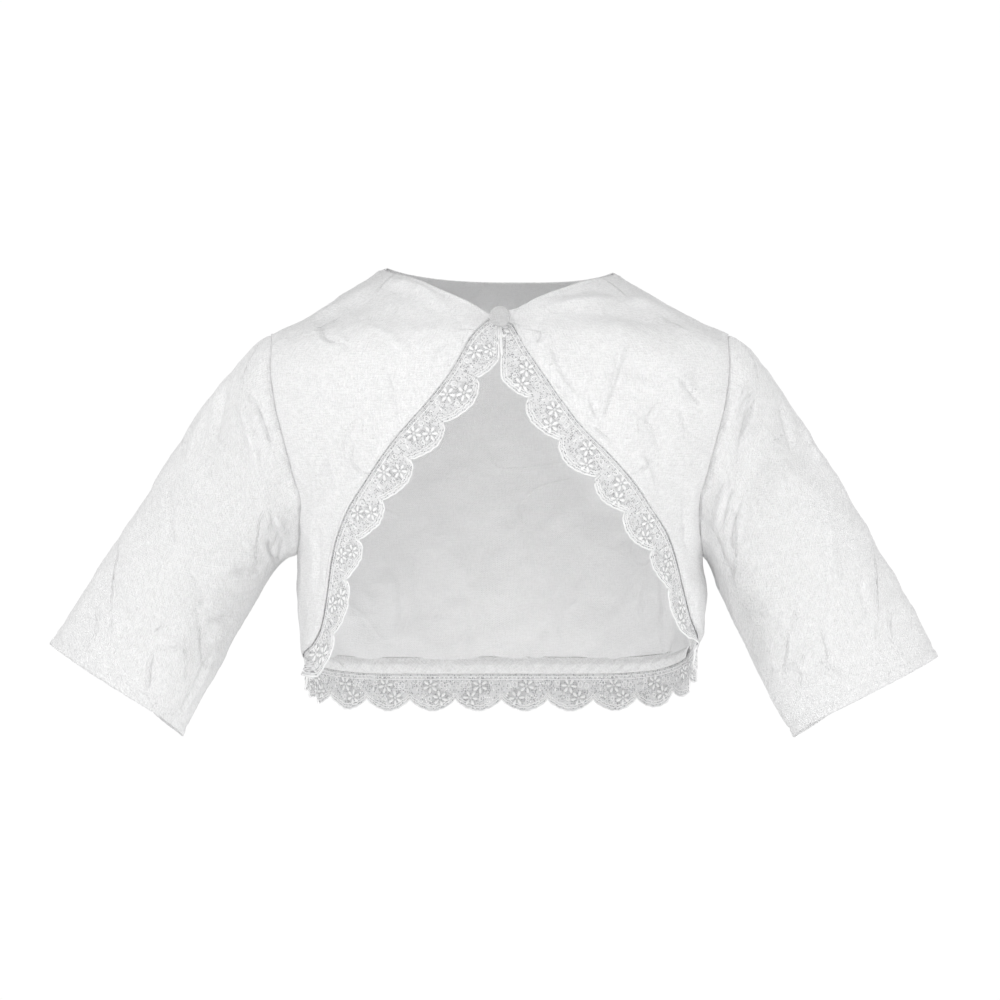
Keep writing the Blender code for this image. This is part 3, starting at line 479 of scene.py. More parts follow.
# What is embroidered in a scallop: shares of its length from the notch, and mm past the edge.
# Scallops marked as turned have the same motifs the other way round. The columns are kind, share,
# mm past the edge, and size.
MOTIFS = (
    ("daisy", 0.46, 6.2, 4.7),
    ("daisy", 0.67, 13.2, 4.6),
    ("ring", 0.71, 5.6, 1.2),
    ("ring", 0.85, 6.2, 1.2),
    ("ring", 0.22, 4.6, 1.0),
    ("ring", 0.44, 13.6, 0.9),
    ("bud", 0.17, 8.2, 3.2),
    ("bud", 0.02, 5.0, 2.2),
)
TURNED = {"right": (True,), "left": (False,), "back": (True, True, True, False, False, True, True)}
# A daisy's padded petals, as shares of its size, its eye, the room that it needs inside the border,
# and how each daisy is turned
PETALS = 6
PETAL_REACH = 0.6
PETAL_LENGTH = 0.82
PETAL_WIDTH = 0.48
PETAL_HEIGHT = 0.6
PETAL_TILTS = (-0.9, 0.0, 0.9)
EYE_RADIUS = 0.4
EYE_CORD = 0.2
DAISY_ROOM = 1.0
DAISY_TURN = 0.5
DAISY_TURN_STEP = 0.37
# The other motifs, and the short seed stitches between them all
RING_TALLNESS = 1.25
RING_CORD = 0.27
BUD_WIDTH = 0.42
BUD_HEIGHT = 0.4
BUD_TILT = 0.2
SEEDS_PER_MM = 1.5
SEED_LENGTHS = (1.3, 2.0)
SEED_WIDTH = 0.55
SEED_HEIGHT = 0.34
# Seeds stay clear of the head, of the innermost line of stitches, of the ends and of the motifs,
# which take up this many times their size
SEED_FROM_HEADER = 2.2
SEED_FROM_LINES = 0.5
SEED_FROM_ENDS = 2.0
SEED_FROM_MOTIFS = 0.7
MOTIF_ROOM = 1.12

# The hem band lies this far inside the back's middle surface and starts this far above the hem. It
# ripples, with a low crown along its middle, and its top edge leans back onto the cloth.
BAND_INSIDE = 2.3
BAND_START = 0.5
BAND_HEIGHT = 10.5
BAND_RIPPLE = 0.4
RIPPLE_LENGTH = 9.0
RIPPLE_SLANT = 7.0
BAND_CROWN = 0.5
BAND_LEAN = 2.05

# The dark meshes of painted shade that the net's colour shows where its holes are, so many to the metre
# of lace, the patches where they are denser, and how deep they look, in metres
NET_CELLS = 950.0
NET_PATCH_SCALE = 330.0
NET_DEPTH = 0.00025

# Thread, in metres: how far its strands and its fuzz stand out, and strands to the metre
STRAND_HEIGHT = 0.0003
FUZZ_HEIGHT = 0.0001
LACE_TWIST = 2600.0
SEWING_TWIST = 3600.0

# The grain: mm across it for each radian round the form, the turn where lengths along it are
# measured, and a step that is too long to be anything but the jump at a seam
GRAIN_RADIUS = 108.0
GRAIN_TURN = 0.9
GRAIN_JUMP = 40.0

# The weave, in metres: two threads of each direction, and how far they wander
THREAD_PAIR = 0.0011
THREAD_WANDER = 0.0004

# The linen's relief, in metres: sharp lines of folding, soft ridges, crumples, slubs and weave
LINE_HEIGHT = 0.0007
RIDGE_HEIGHT = -0.0026
CRUMPLE_HEIGHT = 0.0009
SLUB_HEIGHT = 0.0005
WEAVE_HEIGHT = 0.00009
# Their features to the metre, with those of the slubs across and along the threads
WANDER_SCALE = 260.0
LINE_SCALE = 17.0
LINE_PATCH_SCALE = 26.0
RIDGE_SCALE = 21.0
CRUMPLE_SCALE = 90.0
WARP_SCALE = (1500, 240, 1)
WEFT_SCALE = (210, 1300, 1)
GRAIN_SCALE = 1150.0
FLECK_SCALE = 420.0
# How much darker the linen is along its slubs, a tone of its yarn, and between its threads, which is
# painted shade, and how far a fleck shows
WEAVE_SHADE = 0.14
FLECK_SHARE = 0.35

# Colours and roughness
ROUGHNESS = {"linen": 0.88, "net": 0.8, "thread": 0.72, "floor": 0.8}
LINEN_COLOUR = (0.9, 0.9, 0.902)
BUTTON_COLOUR = (0.64, 0.64, 0.642)
BAND_COLOUR = (0.97, 0.97, 0.97)
FLECK_COLOUR = (0.55, 0.55, 0.54)
# The nets' grey is painted shade, for the shade seen through the fine net, and NET_SHADE is the painted
# shade of its holes
NET_COLOUR = (0.71, 0.71, 0.715)
# Painted shadow: the net's colour under and round the daisies
DAISY_SHADOW_NET_COLOUR = (0.58, 0.58, 0.585)
NET_SHADE = (0.3, 0.3, 0.31)
LACE_COLOUR = (0.93, 0.93, 0.93)
THREAD_COLOUR = (0.84, 0.84, 0.84)
THREAD_SHADE = 0.93
FLOOR_COLOUR = (0.85, 0.85, 0.85)

# The inside of the back has this share of the outside's relief
INSIDE_RELIEF = 0.4

# Each piece as it was cut, in metres: width, length and the area of its shape. Seam allowances
# count, and what is turned under at a hem doesn't.
CUT = {
    "cloth_front_right": (0.18, 0.26, 0.0177),
    "cloth_front_left": (0.18, 0.255, 0.0174),
    "cloth_back": (0.31, 0.27, 0.0648),
    "cloth_sleeve_right": (0.305, 0.217, 0.0409),
    "cloth_sleeve_left": (0.32, 0.219, 0.0412),
    "cloth_hem_band": (0.2475, 0.01, None),
    "lace_front_right_net": (0.27, 0.0248, 0.0061),
    "lace_front_left_net": (0.262, 0.0248, 0.0059),
    "lace_back_net": (0.2475, 0.0248, 0.0056),
}

# The studio, in metres but for the camera's sensor, in mm. The camera sees VIEW_WIDTH, from so far
# off that its view is almost flat.
SENSOR_WIDTH = 36.0
CAMERA_DISTANCE = 2.6
CAMERA_Z = -0.1288
VIEW_WIDTH = 0.555
FLOOR_Z = -0.85
FLOOR_RADIUS = 3.6
# The floor pales into the surround between these distances from its centre
FLOOR_FADE = (0.5, 0.75 * FLOOR_RADIUS)
# The surround's strength as a light, and as the camera sees it
SURROUND_LIGHT = 0.63
SURROUND_SEEN = 1.02
# Soft round lamps: name, place, diameter and power in watts
LAMP_TARGET = (0.0, 0.0, -0.13)
LAMPS = (
    ("front", (0.0, -2.6, 0.35), 1.5, 3.0),
    ("low", (0.0, -1.7, -0.62), 0.4, 6.8),
    ("top", (0.0, 0.0, 2.2), 1.0, 5.0),
    ("key", (-1.6, -1.1, 1.6), 0.3, 12.0),
    ("left", (-2.0, -0.9, 0.0), 0.9, 4.2),
    ("right", (2.0, -0.9, 0.0), 0.9, 9.0),
    ("behind", (0.6, 2.4, 0.9), 0.6, 9.0),
)

# How finely each piece is divided. Closeness over 1 sets points closer towards one end of a line.
SIDE_ROWS = 44
ARMHOLE_ROWS = 104
SHOULDER_ROWS = 58
FRONT_COLUMNS = 84
BACK_COLUMNS = 150
SLEEVE_HALF = 84
SLEEVE_ROWS = 150
SLEEVE_CLOSENESS = 1.15
EDGE_CLOSENESS = 1.35
LACE_STEP = 1.0
BAND_ROWS = 10
BUTTON_SIDES = 56
PETAL_SIDES = 8

# What the uneven and random parts of each piece start from
SEEDS = {
    "front_right": 3,
    "front_left": 5,
    "back": 8,
    "sleeve_right": 21,
    "sleeve_left": 25,
    "armhole": 31,
    "cuff": 33,
    "underarm": 35,
    "net": 41,
    "seed_stitches": 73,
}

# The rows of a panel are eased apart this many times, less within this share of its side edges
ROW_EASING = 160
EASING_MARGIN = 0.15


def column(table, columns, name):
    return np.array([row[columns.index(name)] for row in table], float)


def smooth_curve(knots, values, at):
    """A smooth curve through the values that doesn't overshoot them, read at each place in at."""
    knots = np.asarray(knots, float)
    values = np.asarray(values, float)
    at = np.clip(np.asarray(at, float), knots[0], knots[-1])
    steps = np.diff(knots)
    slopes = np.diff(values) / steps
    inner = np.zeros(len(knots))
    same_way = slopes[:-1] * slopes[1:] > 0
    weight_a = 2 * steps[1:] + steps[:-1]
    weight_b = steps[1:] + 2 * steps[:-1]
    safe = np.where(same_way, slopes[:-1] * slopes[1:], 1.0)
    mean = (weight_a + weight_b) * safe / (weight_a * slopes[1:] + weight_b * slopes[:-1] + 1e-12)
    inner[1:-1] = np.where(same_way, mean, 0.0)
    inner[0], inner[-1] = slopes[0], slopes[-1]
    i = np.clip(np.searchsorted(knots, at, side="right") - 1, 0, len(steps) - 1)
    t = (at - knots[i]) / steps[i]
    return (
        values[i] * (1 + 2 * t) * (1 - t) ** 2
        + inner[i] * steps[i] * t * (1 - t) ** 2
        + values[i + 1] * t**2 * (3 - 2 * t)
        + inner[i + 1] * steps[i] * t**2 * (t - 1)
    )


def smooth_step(x):
    x = np.clip(x, 0.0, 1.0)
    return x * x * (3 - 2 * x)


def body_at(level):
    """Half width, front depth, back depth and squareness of the body form at each level."""
    knots = column(BODY, BODY_COLUMNS, "level")
    return [smooth_curve(knots, column(BODY, BODY_COLUMNS, name), level) for name in BODY_COLUMNS[1:]]


def body_point(turn, level):
    """A point of the body form. Turn is the angle from the front centre, positive to the left."""
    half_width, front, back, square = body_at(level)
    sine, cosine = np.sin(turn), np.cos(turn)
    depth = np.where(cosine > 0, front, back)
    x = half_width * np.sign(sine) * np.abs(sine) ** (2 / square)
    y = -depth * np.sign(cosine) * np.abs(cosine) ** (2 / square)
    return np.stack([x, y, np.broadcast_to(level, x.shape)], axis=-1)


def turn_of(across, level):
    """The turn of a point of the form's front that lies this far across at a level."""
    half_width, _, _, square = body_at(level)
    share = np.clip(np.abs(across) / half_width, 0, 1)
    return np.sign(across) * np.arcsin(share ** (square / 2))


def turn_at_depth(depth, level):
    """The turn of a point on the left of the form this far behind its widest line."""
    _, front, back, square = body_at(level)
    reach = np.where(depth < 0, front, back)
    off = np.arcsin((np.abs(depth) / reach) ** (square / 2))
    return math.pi / 2 + np.sign(depth) * off


def seam_turn(level, of_front):
    """The turn of the side and shoulder seams, half a seam gap to a panel's own side of them."""
    share = smooth_step((UNDERARM_Z - level) / SEAM_BEND)
    half_gap = SEAM_GAP / 2 * (1 + SLANT_ALLOWANCE * np.sqrt(share * (1 - share)))
    return turn_at_depth(SEAM_BACK * share + (-half_gap if of_front else half_gap), level)


def length_along(points):
    return np.concatenate([[0], np.cumsum(np.linalg.norm(np.diff(points, axis=0), axis=1))])


def read_line(line, along, at):
    """A line's values at these distances, where along holds the distances of its own points."""
    return np.stack([np.interp(at, along, line[:, k]) for k in range(line.shape[1])], axis=-1)


def read_columns(grid, distance, at):
    """A grid's values at these distances up each of its columns."""
    columns = range(grid.shape[1])
    return np.stack([read_line(grid[:, c], distance[:, c], at) for c in columns], axis=-2)


def unit(vectors):
    return vectors / np.linalg.norm(vectors, axis=-1, keepdims=True)


def resampled(line, count, closeness=1.0):
    """Count + 1 places along a line of (turn, level) places.

    They are evenly spaced by true length, or closer together towards its end where closeness is
    over 1.
    """
    along = length_along(body_point(line[:, 0], line[:, 1]))
    return read_line(line, along, along[-1] * (1 - np.linspace(1, 0, count + 1) ** closeness))


def through(places, steps=240):
    """A dense smooth line through a few (turn, level) places."""
    places = np.asarray(places, float)
    along = length_along(body_point(places[:, 0], places[:, 1]))
    at = np.linspace(0, along[-1], steps)
    return np.stack([smooth_curve(along, places[:, k], at) for k in (0, 1)], axis=1)


def hem_level(turn, side):
    """The hem's level behind the widest line of the form, on one side."""
    rise = (1 - np.abs(np.cos(turn))) ** 2
    return HEM_CENTRE_Z + (HEM_SIDE_Z[side] - HEM_CENTRE_Z) * rise


def hem_corner(side, of_front):
    """Where the side seam meets the hem, as turn and level on the wearer's left."""
    level = HEM_SIDE_Z[side]
    for _ in range(12):
        level = hem_level(seam_turn(level, of_front), side)
    return seam_turn(level, of_front), level


def front_edge(side):
    """The front's whole free edge, from the neck corner to the side seam."""
    across, level = [column(FRONT_EDGE[side], EDGE_COLUMNS, name) for name in EDGE_COLUMNS]
    places = list(zip(turn_of(across, level), level))
    places += [(math.pi / 2, HEM_SIDE_Z[side]), hem_corner(side, True)]
    return through(places)


def armhole_line(of_front):
    """The armhole seam's half in front or behind, from the underarm to the shoulder point."""
    share = (1 - np.cos(np.linspace(0, math.pi, 200))) / 2
    levels = UNDERARM_Z + (SHOULDER_POINT_Z - UNDERARM_Z) * share
    knots, values = [column(ARMHOLE, ARMHOLE_COLUMNS, name) for name in ARMHOLE_COLUMNS]
    turns = turn_of(smooth_curve(knots, values, levels), levels)
    seam = seam_turn(levels[[0, -1]], True)
    turns = np.minimum(turns, seam.max())
    turns[[0, -1]] = seam
    return np.stack([turns if of_front else math.pi - turns, levels], axis=1)


def seam_side(side, of_front):
    """The side edge of a front or of the back: side seam, armhole and shoulder seam, upwards."""
    low = np.linspace(hem_corner(side, of_front)[1], UNDERARM_Z, 60)
    high = np.linspace(SHOULDER_POINT_Z, 0, 60)
    return np.concatenate(
        [
            resampled(np.stack([seam_turn(low, of_front), low], axis=1), SIDE_ROWS),
            resampled(armhole_line(of_front), ARMHOLE_ROWS)[1:],
            resampled(np.stack([seam_turn(high, of_front), high], axis=1), SHOULDER_ROWS)[1:],
        ]
    )


def coons(bottom, top, start, end):
    """A net of places that fills the space between four edges.

    Inside, the rows are eased apart where the edges' corner at the shoulder point would crowd them.
    """
    u = np.linspace(0, 1, len(bottom))[None, :, None]
    v = np.linspace(0, 1, len(start))[:, None, None]
    ruled = (1 - v) * bottom[None] + v * top[None] + (1 - u) * start[:, None] + u * end[:, None]
    corners = (
        (1 - u) * (1 - v) * bottom[0]
        + u * (1 - v) * bottom[-1]
        + (1 - u) * v * top[0]
        + u * v * top[-1]
    )
    net = ruled - corners
    weight = 0.5 * smooth_step(np.minimum(u, 1 - u) / EASING_MARGIN)
    for _ in range(ROW_EASING):
        net[1:-1] += weight * ((net[:-2] + net[2:]) / 2 - net[1:-1])
    return net


def front_net(side):
    """The front's places, rows from the hem to the neckline, columns from the edge to the side."""
    edge = front_edge(side)
    along = length_along(body_point(edge[:, 0], edge[:, 1]))
    turn_round = int(np.searchsorted(along, along[-1] - TURN_LENGTH))
    rows = SIDE_ROWS + ARMHOLE_ROWS + SHOULDER_ROWS
    start = resampled(edge[: turn_round + 1][::-1], rows, EDGE_CLOSENESS)
    bottom = resampled(edge[turn_round:], FRONT_COLUMNS)
    end = seam_side(side, True)
    across, level = np.array(NECKLINE[side], float).T
    places = [start[-1], *np.stack([turn_of(across, level), level], axis=1), end[-1]]
    top = resampled(through(places), FRONT_COLUMNS)
    return coons(bottom, top, start, end)


def back_net():
    """The back's places, rows from the hem to the neckline, columns from left to right side."""
    left = seam_side("left", False)
    right = seam_side("right", False) * [-1, 1] + [2 * math.pi, 0]
    turns = np.linspace(left[0, 0], right[0, 0], 241)
    levels = np.where(turns < math.pi, hem_level(turns, "left"), hem_level(turns, "right"))
    bottom = resampled(np.stack([turns, levels], axis=1), BACK_COLUMNS)
    turns = np.linspace(left[-1, 0], right[-1, 0], 200)
    top = resampled(np.stack([turns, -BACK_NECK_DROP * np.cos(turns) ** 2], axis=1), BACK_COLUMNS)
    return coons(bottom, top, left, right)


def mirrored(points):
    """The same points on the wearer's right."""
    return points * [-1.0, 1.0, 1.0]


def normals_of(net, closed):
    """Unit normals of a net of points. Closed nets join their last column to their first."""
    if closed:
        along = np.roll(net, -1, axis=1) - np.roll(net, 1, axis=1)
    else:
        along = np.gradient(net, axis=1)
    return unit(np.cross(along, np.gradient(net, axis=0)))


def fold_height(points, normals, folds):
    """How far the folds lift or sink each point of the cloth."""
    height = np.zeros(points.shape[:-1])
    for side, x0, z0, x1, z1, half_width, rise in folds:
        along = np.array([x1 - x0, z1 - z0])
        long = np.linalg.norm(along)
        off = points[..., [0, 2]] - [x0, z0]
        share = off @ along / long**2
        away = np.abs(off @ [-along[1], along[0]]) / long
        ends = smooth_step(share * FOLD_ENDS) * smooth_step((1 - share) * FOLD_ENDS)
        facing = smooth_step(side * normals[..., 1] * FACING) if side else 1.0
        height += rise * ends * facing * np.exp(-((away / half_width) ** 2))
    return height


def along_rows(net):
    """How far along its row each point of a net is."""
    steps = np.linalg.norm(np.diff(net, axis=1), axis=-1)
    return np.concatenate([np.zeros((len(net), 1)), np.cumsum(steps, axis=1)], axis=1)


def edge_distances(net):
    """How far each point of a net is from its start, end, bottom and top edges."""
    across = along_rows(net)
    up = along_rows(net.swapaxes(0, 1)).T
    return {"start": across, "end": across[:, -1:] - across, "bottom": up, "top": up[-1:] - up}


def edge_fade(net, sides):
    """From 0 at the named edges of a net to 1 well inside it."""
    distances = edge_distances(net)
    fade = np.ones(net.shape[:-1])
    for name in sides:
        fade *= smooth_step(distances[name] / FOLD_FADE)
    return fade[..., None]


def folded(net, folds, closed, sides):
    """The net with its folds, and its normals."""
    normals = normals_of(net, closed)
    net = net + normals * fold_height(net, normals, folds)[..., None] * edge_fade(net, sides)
    return net, normals_of(net, closed)


def settled(vertices):
    """The wearer's left shoulder sits a little lower at the neck than the right one."""
    vertices = np.array(vertices, float)
    share = smooth_step(vertices[:, 0] / DROP_ACROSS) * smooth_step(vertices[:, 2] / DROP_DOWN + 1)
    vertices[:, 2] -= LEFT_SHOULDER_DROP * share
    return vertices


def sleeve_net(side, armhole):
    """Rings of the sleeve from the armhole to the cuff, on the wearer's left.

    The ring starts at the shoulder point and runs down the front, under the arm and up the back.
    """
    table = SLEEVE[side]
    shares = column(table, SLEEVE_COLUMNS, "share")
    rings = np.linspace(0, 1, SLEEVE_ROWS + 1) ** SLEEVE_CLOSENESS
    read = {n: smooth_curve(shares, column(table, SLEEVE_COLUMNS, n), rings) for n in SLEEVE_COLUMNS[1:]}
    levels = armhole[:, 2]
    upper = 2 * (levels - UNDERARM_Z) / (SHOULDER_POINT_Z - UNDERARM_Z) - 1
    lift = np.clip(upper, -1, 1)[None, :]
    sweep = np.sign(armhole[:, 1])[None, :] * np.sqrt(1 - lift**2)
    top = np.stack([read["top_x"], 0 * rings, read["top_z"]], axis=-1)[:, None]
    under = np.stack([read["under_x"], 0 * rings, read["under_z"]], axis=-1)[:, None]
    net = (top + under) / 2 + (top - under) / 2 * lift[..., None]
    net[..., 1] += read["half_depth"][:, None] * sweep
    cap = 1 - smooth_step(rings / CAP_SHARE)
    net = net + cap[:, None, None] * (armhole - net[0])[None]
    down = unit((top - under)[..., [2, 1, 0]] * [-1, 0, 1])
    # The drop is nothing in front, whole behind, and eases out towards the top of the arm
    drop = CUFF_BACK_DROP * smooth_step((sweep * 1.2 + 1.1) / 1.4) * smooth_step((0.1 - lift) / 0.9)
    reach = smooth_step((rings - CUFF_DROP_START) / (1 - CUFF_DROP_START))[:, None] * drop
    return net - down * reach[..., None]


def on_left(folds, side):
    """A side's folds as they would lie on the wearer's left, where both sides are worked out."""
    sign = 1 if side == "left" else -1
    return [(face, sign * x0, z0, sign * x1, z1, wide, rise) for face, x0, z0, x1, z1, wide, rise in folds]


def free_edge(panel, name):
    """A panel's free edge and, for each of its points, the panel's next point inside it."""
    rows, columns = panel["points"].shape[:2]
    row, col = np.zeros(columns, int), np.arange(columns)
    inner_row, inner_col = np.ones(columns, int), col.copy()
    if name != "back":
        row = np.concatenate([np.arange(rows - 1, 0, -1), row])
        col = np.concatenate([np.zeros(rows - 1, int), col])
        inner_row = np.concatenate([np.arange(rows - 1, 0, -1), inner_row])
        inner_col = np.concatenate([np.ones(rows - 1, int), np.maximum(inner_col, 1)])
    return {
        "point": panel["points"][row, col],
        "normal": panel["normals"][row, col],
        "inner_point": panel["points"][inner_row, inner_col],
        "inner_normal": panel["normals"][inner_row, inner_col],
    }


def read_along(edge, at):
    """The edge's values at these distances along it."""
    along = length_along(edge["point"])
    return {name: read_line(values, along, at) for name, values in edge.items()}


def beside_edge(edge, across, lift):
    """Points this far past the edge (or inside it where across is negative), and lift mm off it.

    Inside the edge they lie on the panel's own points. Past it they carry on straight.
    """
    away = unit(np.cross(np.gradient(edge["point"], axis=0), edge["normal"]))
    inward = edge["inner_point"] - edge["point"]
    share = (-across / np.linalg.norm(inward, axis=-1))[..., None]
    inside = edge["point"] + inward * share
    normal = unit(edge["normal"] + (edge["inner_normal"] - edge["normal"]) * np.clip(share, 0, 1))
    past = edge["point"] + away * across[..., None]
    return np.where(across[..., None] < 0, inside, past) + normal * lift[..., None]


def scallop_reach(share, peak):
    """How far the lace reaches past the edge at this share of a scallop, which peaks at peak."""
    swing = np.abs(2 * share ** (math.log(0.5) / math.log(peak)) - 1)
    rise = (1 - swing**LACE_ROUNDNESS) ** (1 / LACE_ROUNDNESS)
    lobes = LOBE_HEIGHT * (np.abs(np.sin(LOBES * math.pi * share)) - 1)
    return LACE_NOTCH + (LACE_TIP - LACE_NOTCH) * rise + lobes


def room_at_centre(edge, reach):
    """How far the lace can reach, up to reach, before it comes to the centre line."""
    low, high = np.zeros(reach.shape), reach * 1.0
    for _ in range(14):
        middle = (low + high) / 2
        clear = beside_edge(edge, middle[None], 0 * middle[None])[0, :, 0] > LACE_CENTRE_GAP
        low, high = np.where(clear, middle, low), np.where(clear, high, middle)
    return low


def form_normal(places):
    """The body form's normals at (turn, level) places."""
    turn, level = places[..., 0], places[..., 1]
    around = body_point(turn + 0.002, level) - body_point(turn - 0.002, level)
    up = body_point(turn, level + 0.2) - body_point(turn, level - 0.2)
    return unit(np.cross(around, up))


def grain_of(places):
    """Where each place lies on the cut cloth, in mm: across the grain and along it."""
    levels = np.linspace(BODY[0][0], 0, 260)
    along = length_along(body_point(np.full(260, GRAIN_TURN), levels))
    return np.stack([places[..., 0] * GRAIN_RADIUS, np.interp(places[..., 1], levels, along)], axis=-1)


def along_edges(net):
    """How far along its edge each point of a net is, for the four edges."""
    return {
        "start": length_along(net[:, 0])[:, None],
        "end": length_along(net[:, -1])[:, None],
        "bottom": length_along(net[0])[None],
        "top": length_along(net[-1])[None],
    }


def crease_height(points, normals, creases):
    """How far the creases lift or sink each point of the cloth."""
    place = points[..., [0, 2]]
    height = np.zeros(place.shape[:-1])
    t = np.linspace(0, 1, CREASE_STEPS + 1)[:, None]
    for side, x0, z0, x1, z1, x2, z2, width, rise in creases:
        path = (1 - t) * (1 - 2 * t) * [x0, z0] + 4 * t * (1 - t) * [x1, z1] + t * (2 * t - 1) * [x2, z2]
        nearest = np.full(height.shape, np.inf)
        share, off_side = np.zeros(height.shape), np.ones(height.shape)
        for step, (a, b) in enumerate(zip(path[:-1], path[1:])):
            along = b - a
            at = np.clip((place - a) @ along / (along @ along), 0, 1)
            off = place - a - at[..., None] * along
            distance = np.linalg.norm(off, axis=-1)
            nearer = distance < nearest
            nearest = np.where(nearer, distance, nearest)
            share = np.where(nearer, (step + at) / CREASE_STEPS, share)
            off_side = np.where(nearer, np.sign(off @ [-along[1], along[0]]), off_side)
        across = nearest * off_side / width
        opposite = np.exp(-(((across - OPPOSITE_OFF) / OPPOSITE_WIDTH) ** 2))
        profile = np.exp(-(across**2)) - OPPOSITE_SHARE * opposite
        ends = smooth_step(share * CREASE_ENDS) * smooth_step((1 - share) * CREASE_ENDS)
        facing = smooth_step(side * normals[..., 1] * FACING)
        height += CREASE_STRENGTH[side] * rise * ends * profile * facing
    return height


def rumple(points, seed):
    """The cloth's small unevenness, as waves of several sizes in many directions."""
    rng = np.random.default_rng(seed)
    height = np.zeros(points.shape[:-1])
    for size, rise in RUMPLES:
        for _ in range(RUMPLE_WAVES):
            wave = unit(rng.normal(size=3)) * 2 * math.pi / (size * rng.uniform(*RUMPLE_LENGTHS))
            bend = unit(rng.normal(size=3)) * 2 * math.pi / (size * RUMPLE_BEND_LENGTH)
            phase = points @ wave + RUMPLE_BEND * np.sin(points @ bend) + rng.uniform(0, 6.3)
            height += rise / 3 * np.sin(phase)
    return height


def puckers(along, seed):
    """Uneven little waves along a row of stitches, from -1 to 1.

    Slow waves with no common length vary their spacing and their height.
    """
    phase = along / PUCKER_PITCH + 0.34 * np.sin(along / 6.1 + seed) + 0.3 * np.sin(along / 2.7 + 2 * seed)
    return np.sin(2 * math.pi * phase) * (0.55 + 0.45 * np.sin(along / 9.7 + 1.7 * seed))


def seam_relief(distance, along, seed):
    """A seam's groove, and the puckers that run out from it."""
    groove = -SEAM_DIP * np.exp(-((distance / SEAM_WIDTH) ** 2))
    waves = PUCKER_HEIGHT * puckers(along + PUCKER_SLANT * distance, seed)
    return groove + waves * np.exp(-distance / PUCKER_REACH)


def hem_relief(distance, along, width, seed, dip=HEM_DIP, spread=HEM_SPREAD):
    """A turned edge: a groove where it is sewn, with puckers to both sides."""
    off = distance - width
    groove = -dip * np.exp(-((off / spread) ** 2))
    waves = PUCKER_HEIGHT * puckers(along + HEM_SLANT * off, seed)
    return groove + waves * np.exp(-np.abs(off) / HEM_REACH)


def panel_of(places, folds):
    points = body_point(places[..., 0], places[..., 1])
    points, normals = folded(points, folds, False, ("start", "end", "bottom", "top"))
    return {"places": places, "points": points, "normals": normals}


def with_detail(panel, creases, seams, hems, seed):
    """A panel's points with its creases, seams and hems."""
    points, normals = panel["points"], panel["normals"]
    distance, along = edge_distances(points), along_edges(points)
    relief = crease_height(points, normals, creases) + rumple(points, seed)
    for name in (*seams, *hems):
        relief *= smooth_step(distance[name] / CREASE_FADE)
    for k, name in enumerate(seams):
        relief += seam_relief(distance[name], along[name], seed + k)
    for k, (name, width) in enumerate(hems.items()):
        relief += hem_relief(distance[name], along[name], width, seed + 10 + k)
    return points + normals * relief[..., None]


def turned_in(points, normal, depth):
    """A net with its last column turned in behind it, as a seam allowance this deep."""
    inward = unit(points[:, -2] - points[:, -1]) * TUCK
    edge = points[:, -1] + inward
    more = [edge - normal * depth[:, None] * share for share in ALLOWANCE_ROWS]
    return np.concatenate([points[:, :-1], edge[:, None], np.stack(more, axis=1)], axis=1)


def allowance_depth(edge):
    """An allowance's depth along a panel's side, which tapers to nothing at the hem and neck."""
    along = length_along(edge)
    growth = smooth_step((along - ALLOWANCE_FROM) / ALLOWANCE_GROWTH)
    return ALLOWANCE * growth * smooth_step((along[-1] - along) / ALLOWANCE_TAPER) + ALLOWANCE_LEAST


def allowance_grain(grain):
    """The grain's last column again for each row of points of an allowance."""
    return np.concatenate([grain, np.repeat(grain[:, -1:], len(ALLOWANCE_ROWS), axis=1)], axis=1)


def mesh_object(name, vertices, faces, material, uv=None):
    """A smooth mesh of millimetre points. Uv has each corner of each face's place on the cloth."""
    faces = faces if isinstance(faces, list) else faces.tolist()
    mesh = bpy.data.meshes.new(name)
    mesh.from_pydata(settled(vertices) * MM, [], faces)
    if uv is not None:
        mesh.uv_layers.new(name="cloth").data.foreach_set("uv", (uv * MM).reshape(-1))
    mesh.shade_smooth()
    mesh.materials.append(material)
    obj = bpy.data.objects.new(name, mesh)
    bpy.context.scene.collection.objects.link(obj)
    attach(obj, "root")
    return obj


def shell(name, net, thick, grain, material, closed=False):
    """A thin closed shell on a net. Grain gives each point's place on the cut cloth."""
    rows, columns = net.shape[:2]
    offset = normals_of(net, closed) * thick / 2
    vertices = np.concatenate([(net + offset).reshape(-1, 3), (net - offset).reshape(-1, 3)])
    outer = np.arange(rows * columns).reshape(rows, columns)
    step = np.diff(grain, axis=1, append=grain[:, -1:])
    if closed:
        outer = np.concatenate([outer, outer[:, :1]], axis=1)
        step[:, -1] = grain[:, 0] - grain[:, -1]
        # The grain's place jumps at the seam, where a square keeps the place of its first corner
        step[np.abs(step[..., 0]) > GRAIN_JUMP] = 0
    after = grain + step
    if not closed:
        grain, after = grain[:, :-1], after[:, :-1]
    square = [outer[:-1, :-1], outer[:-1, 1:], outer[1:, 1:], outer[1:, :-1]]
    place = [grain[:-1], after[:-1], after[1:], grain[1:]]
    faces = np.stack(square, axis=-1).reshape(-1, 4)
    uv = np.stack(place, axis=2).reshape(-1, 4, 2)
    walls, wall_uv = [faces, faces[:, ::-1] + rows * columns], [uv, uv[:, ::-1]]
    lines = [(outer[0], grain[0]), (outer[-1][::-1], grain[-1][::-1])]
    if not closed:
        lines += [(outer[::-1, 0], grain[::-1, 0]), (outer[:, -1], after[:, -1])]
    for line, at in lines:
        inner = line + rows * columns
        walls.append(np.stack([line[:-1], inner[:-1], inner[1:], line[1:]], axis=-1))
        wall_uv.append(np.repeat(at[: len(line) - 1, None], 4, axis=1))
    return mesh_object(name, vertices, np.concatenate(walls), material, np.concatenate(wall_uv))


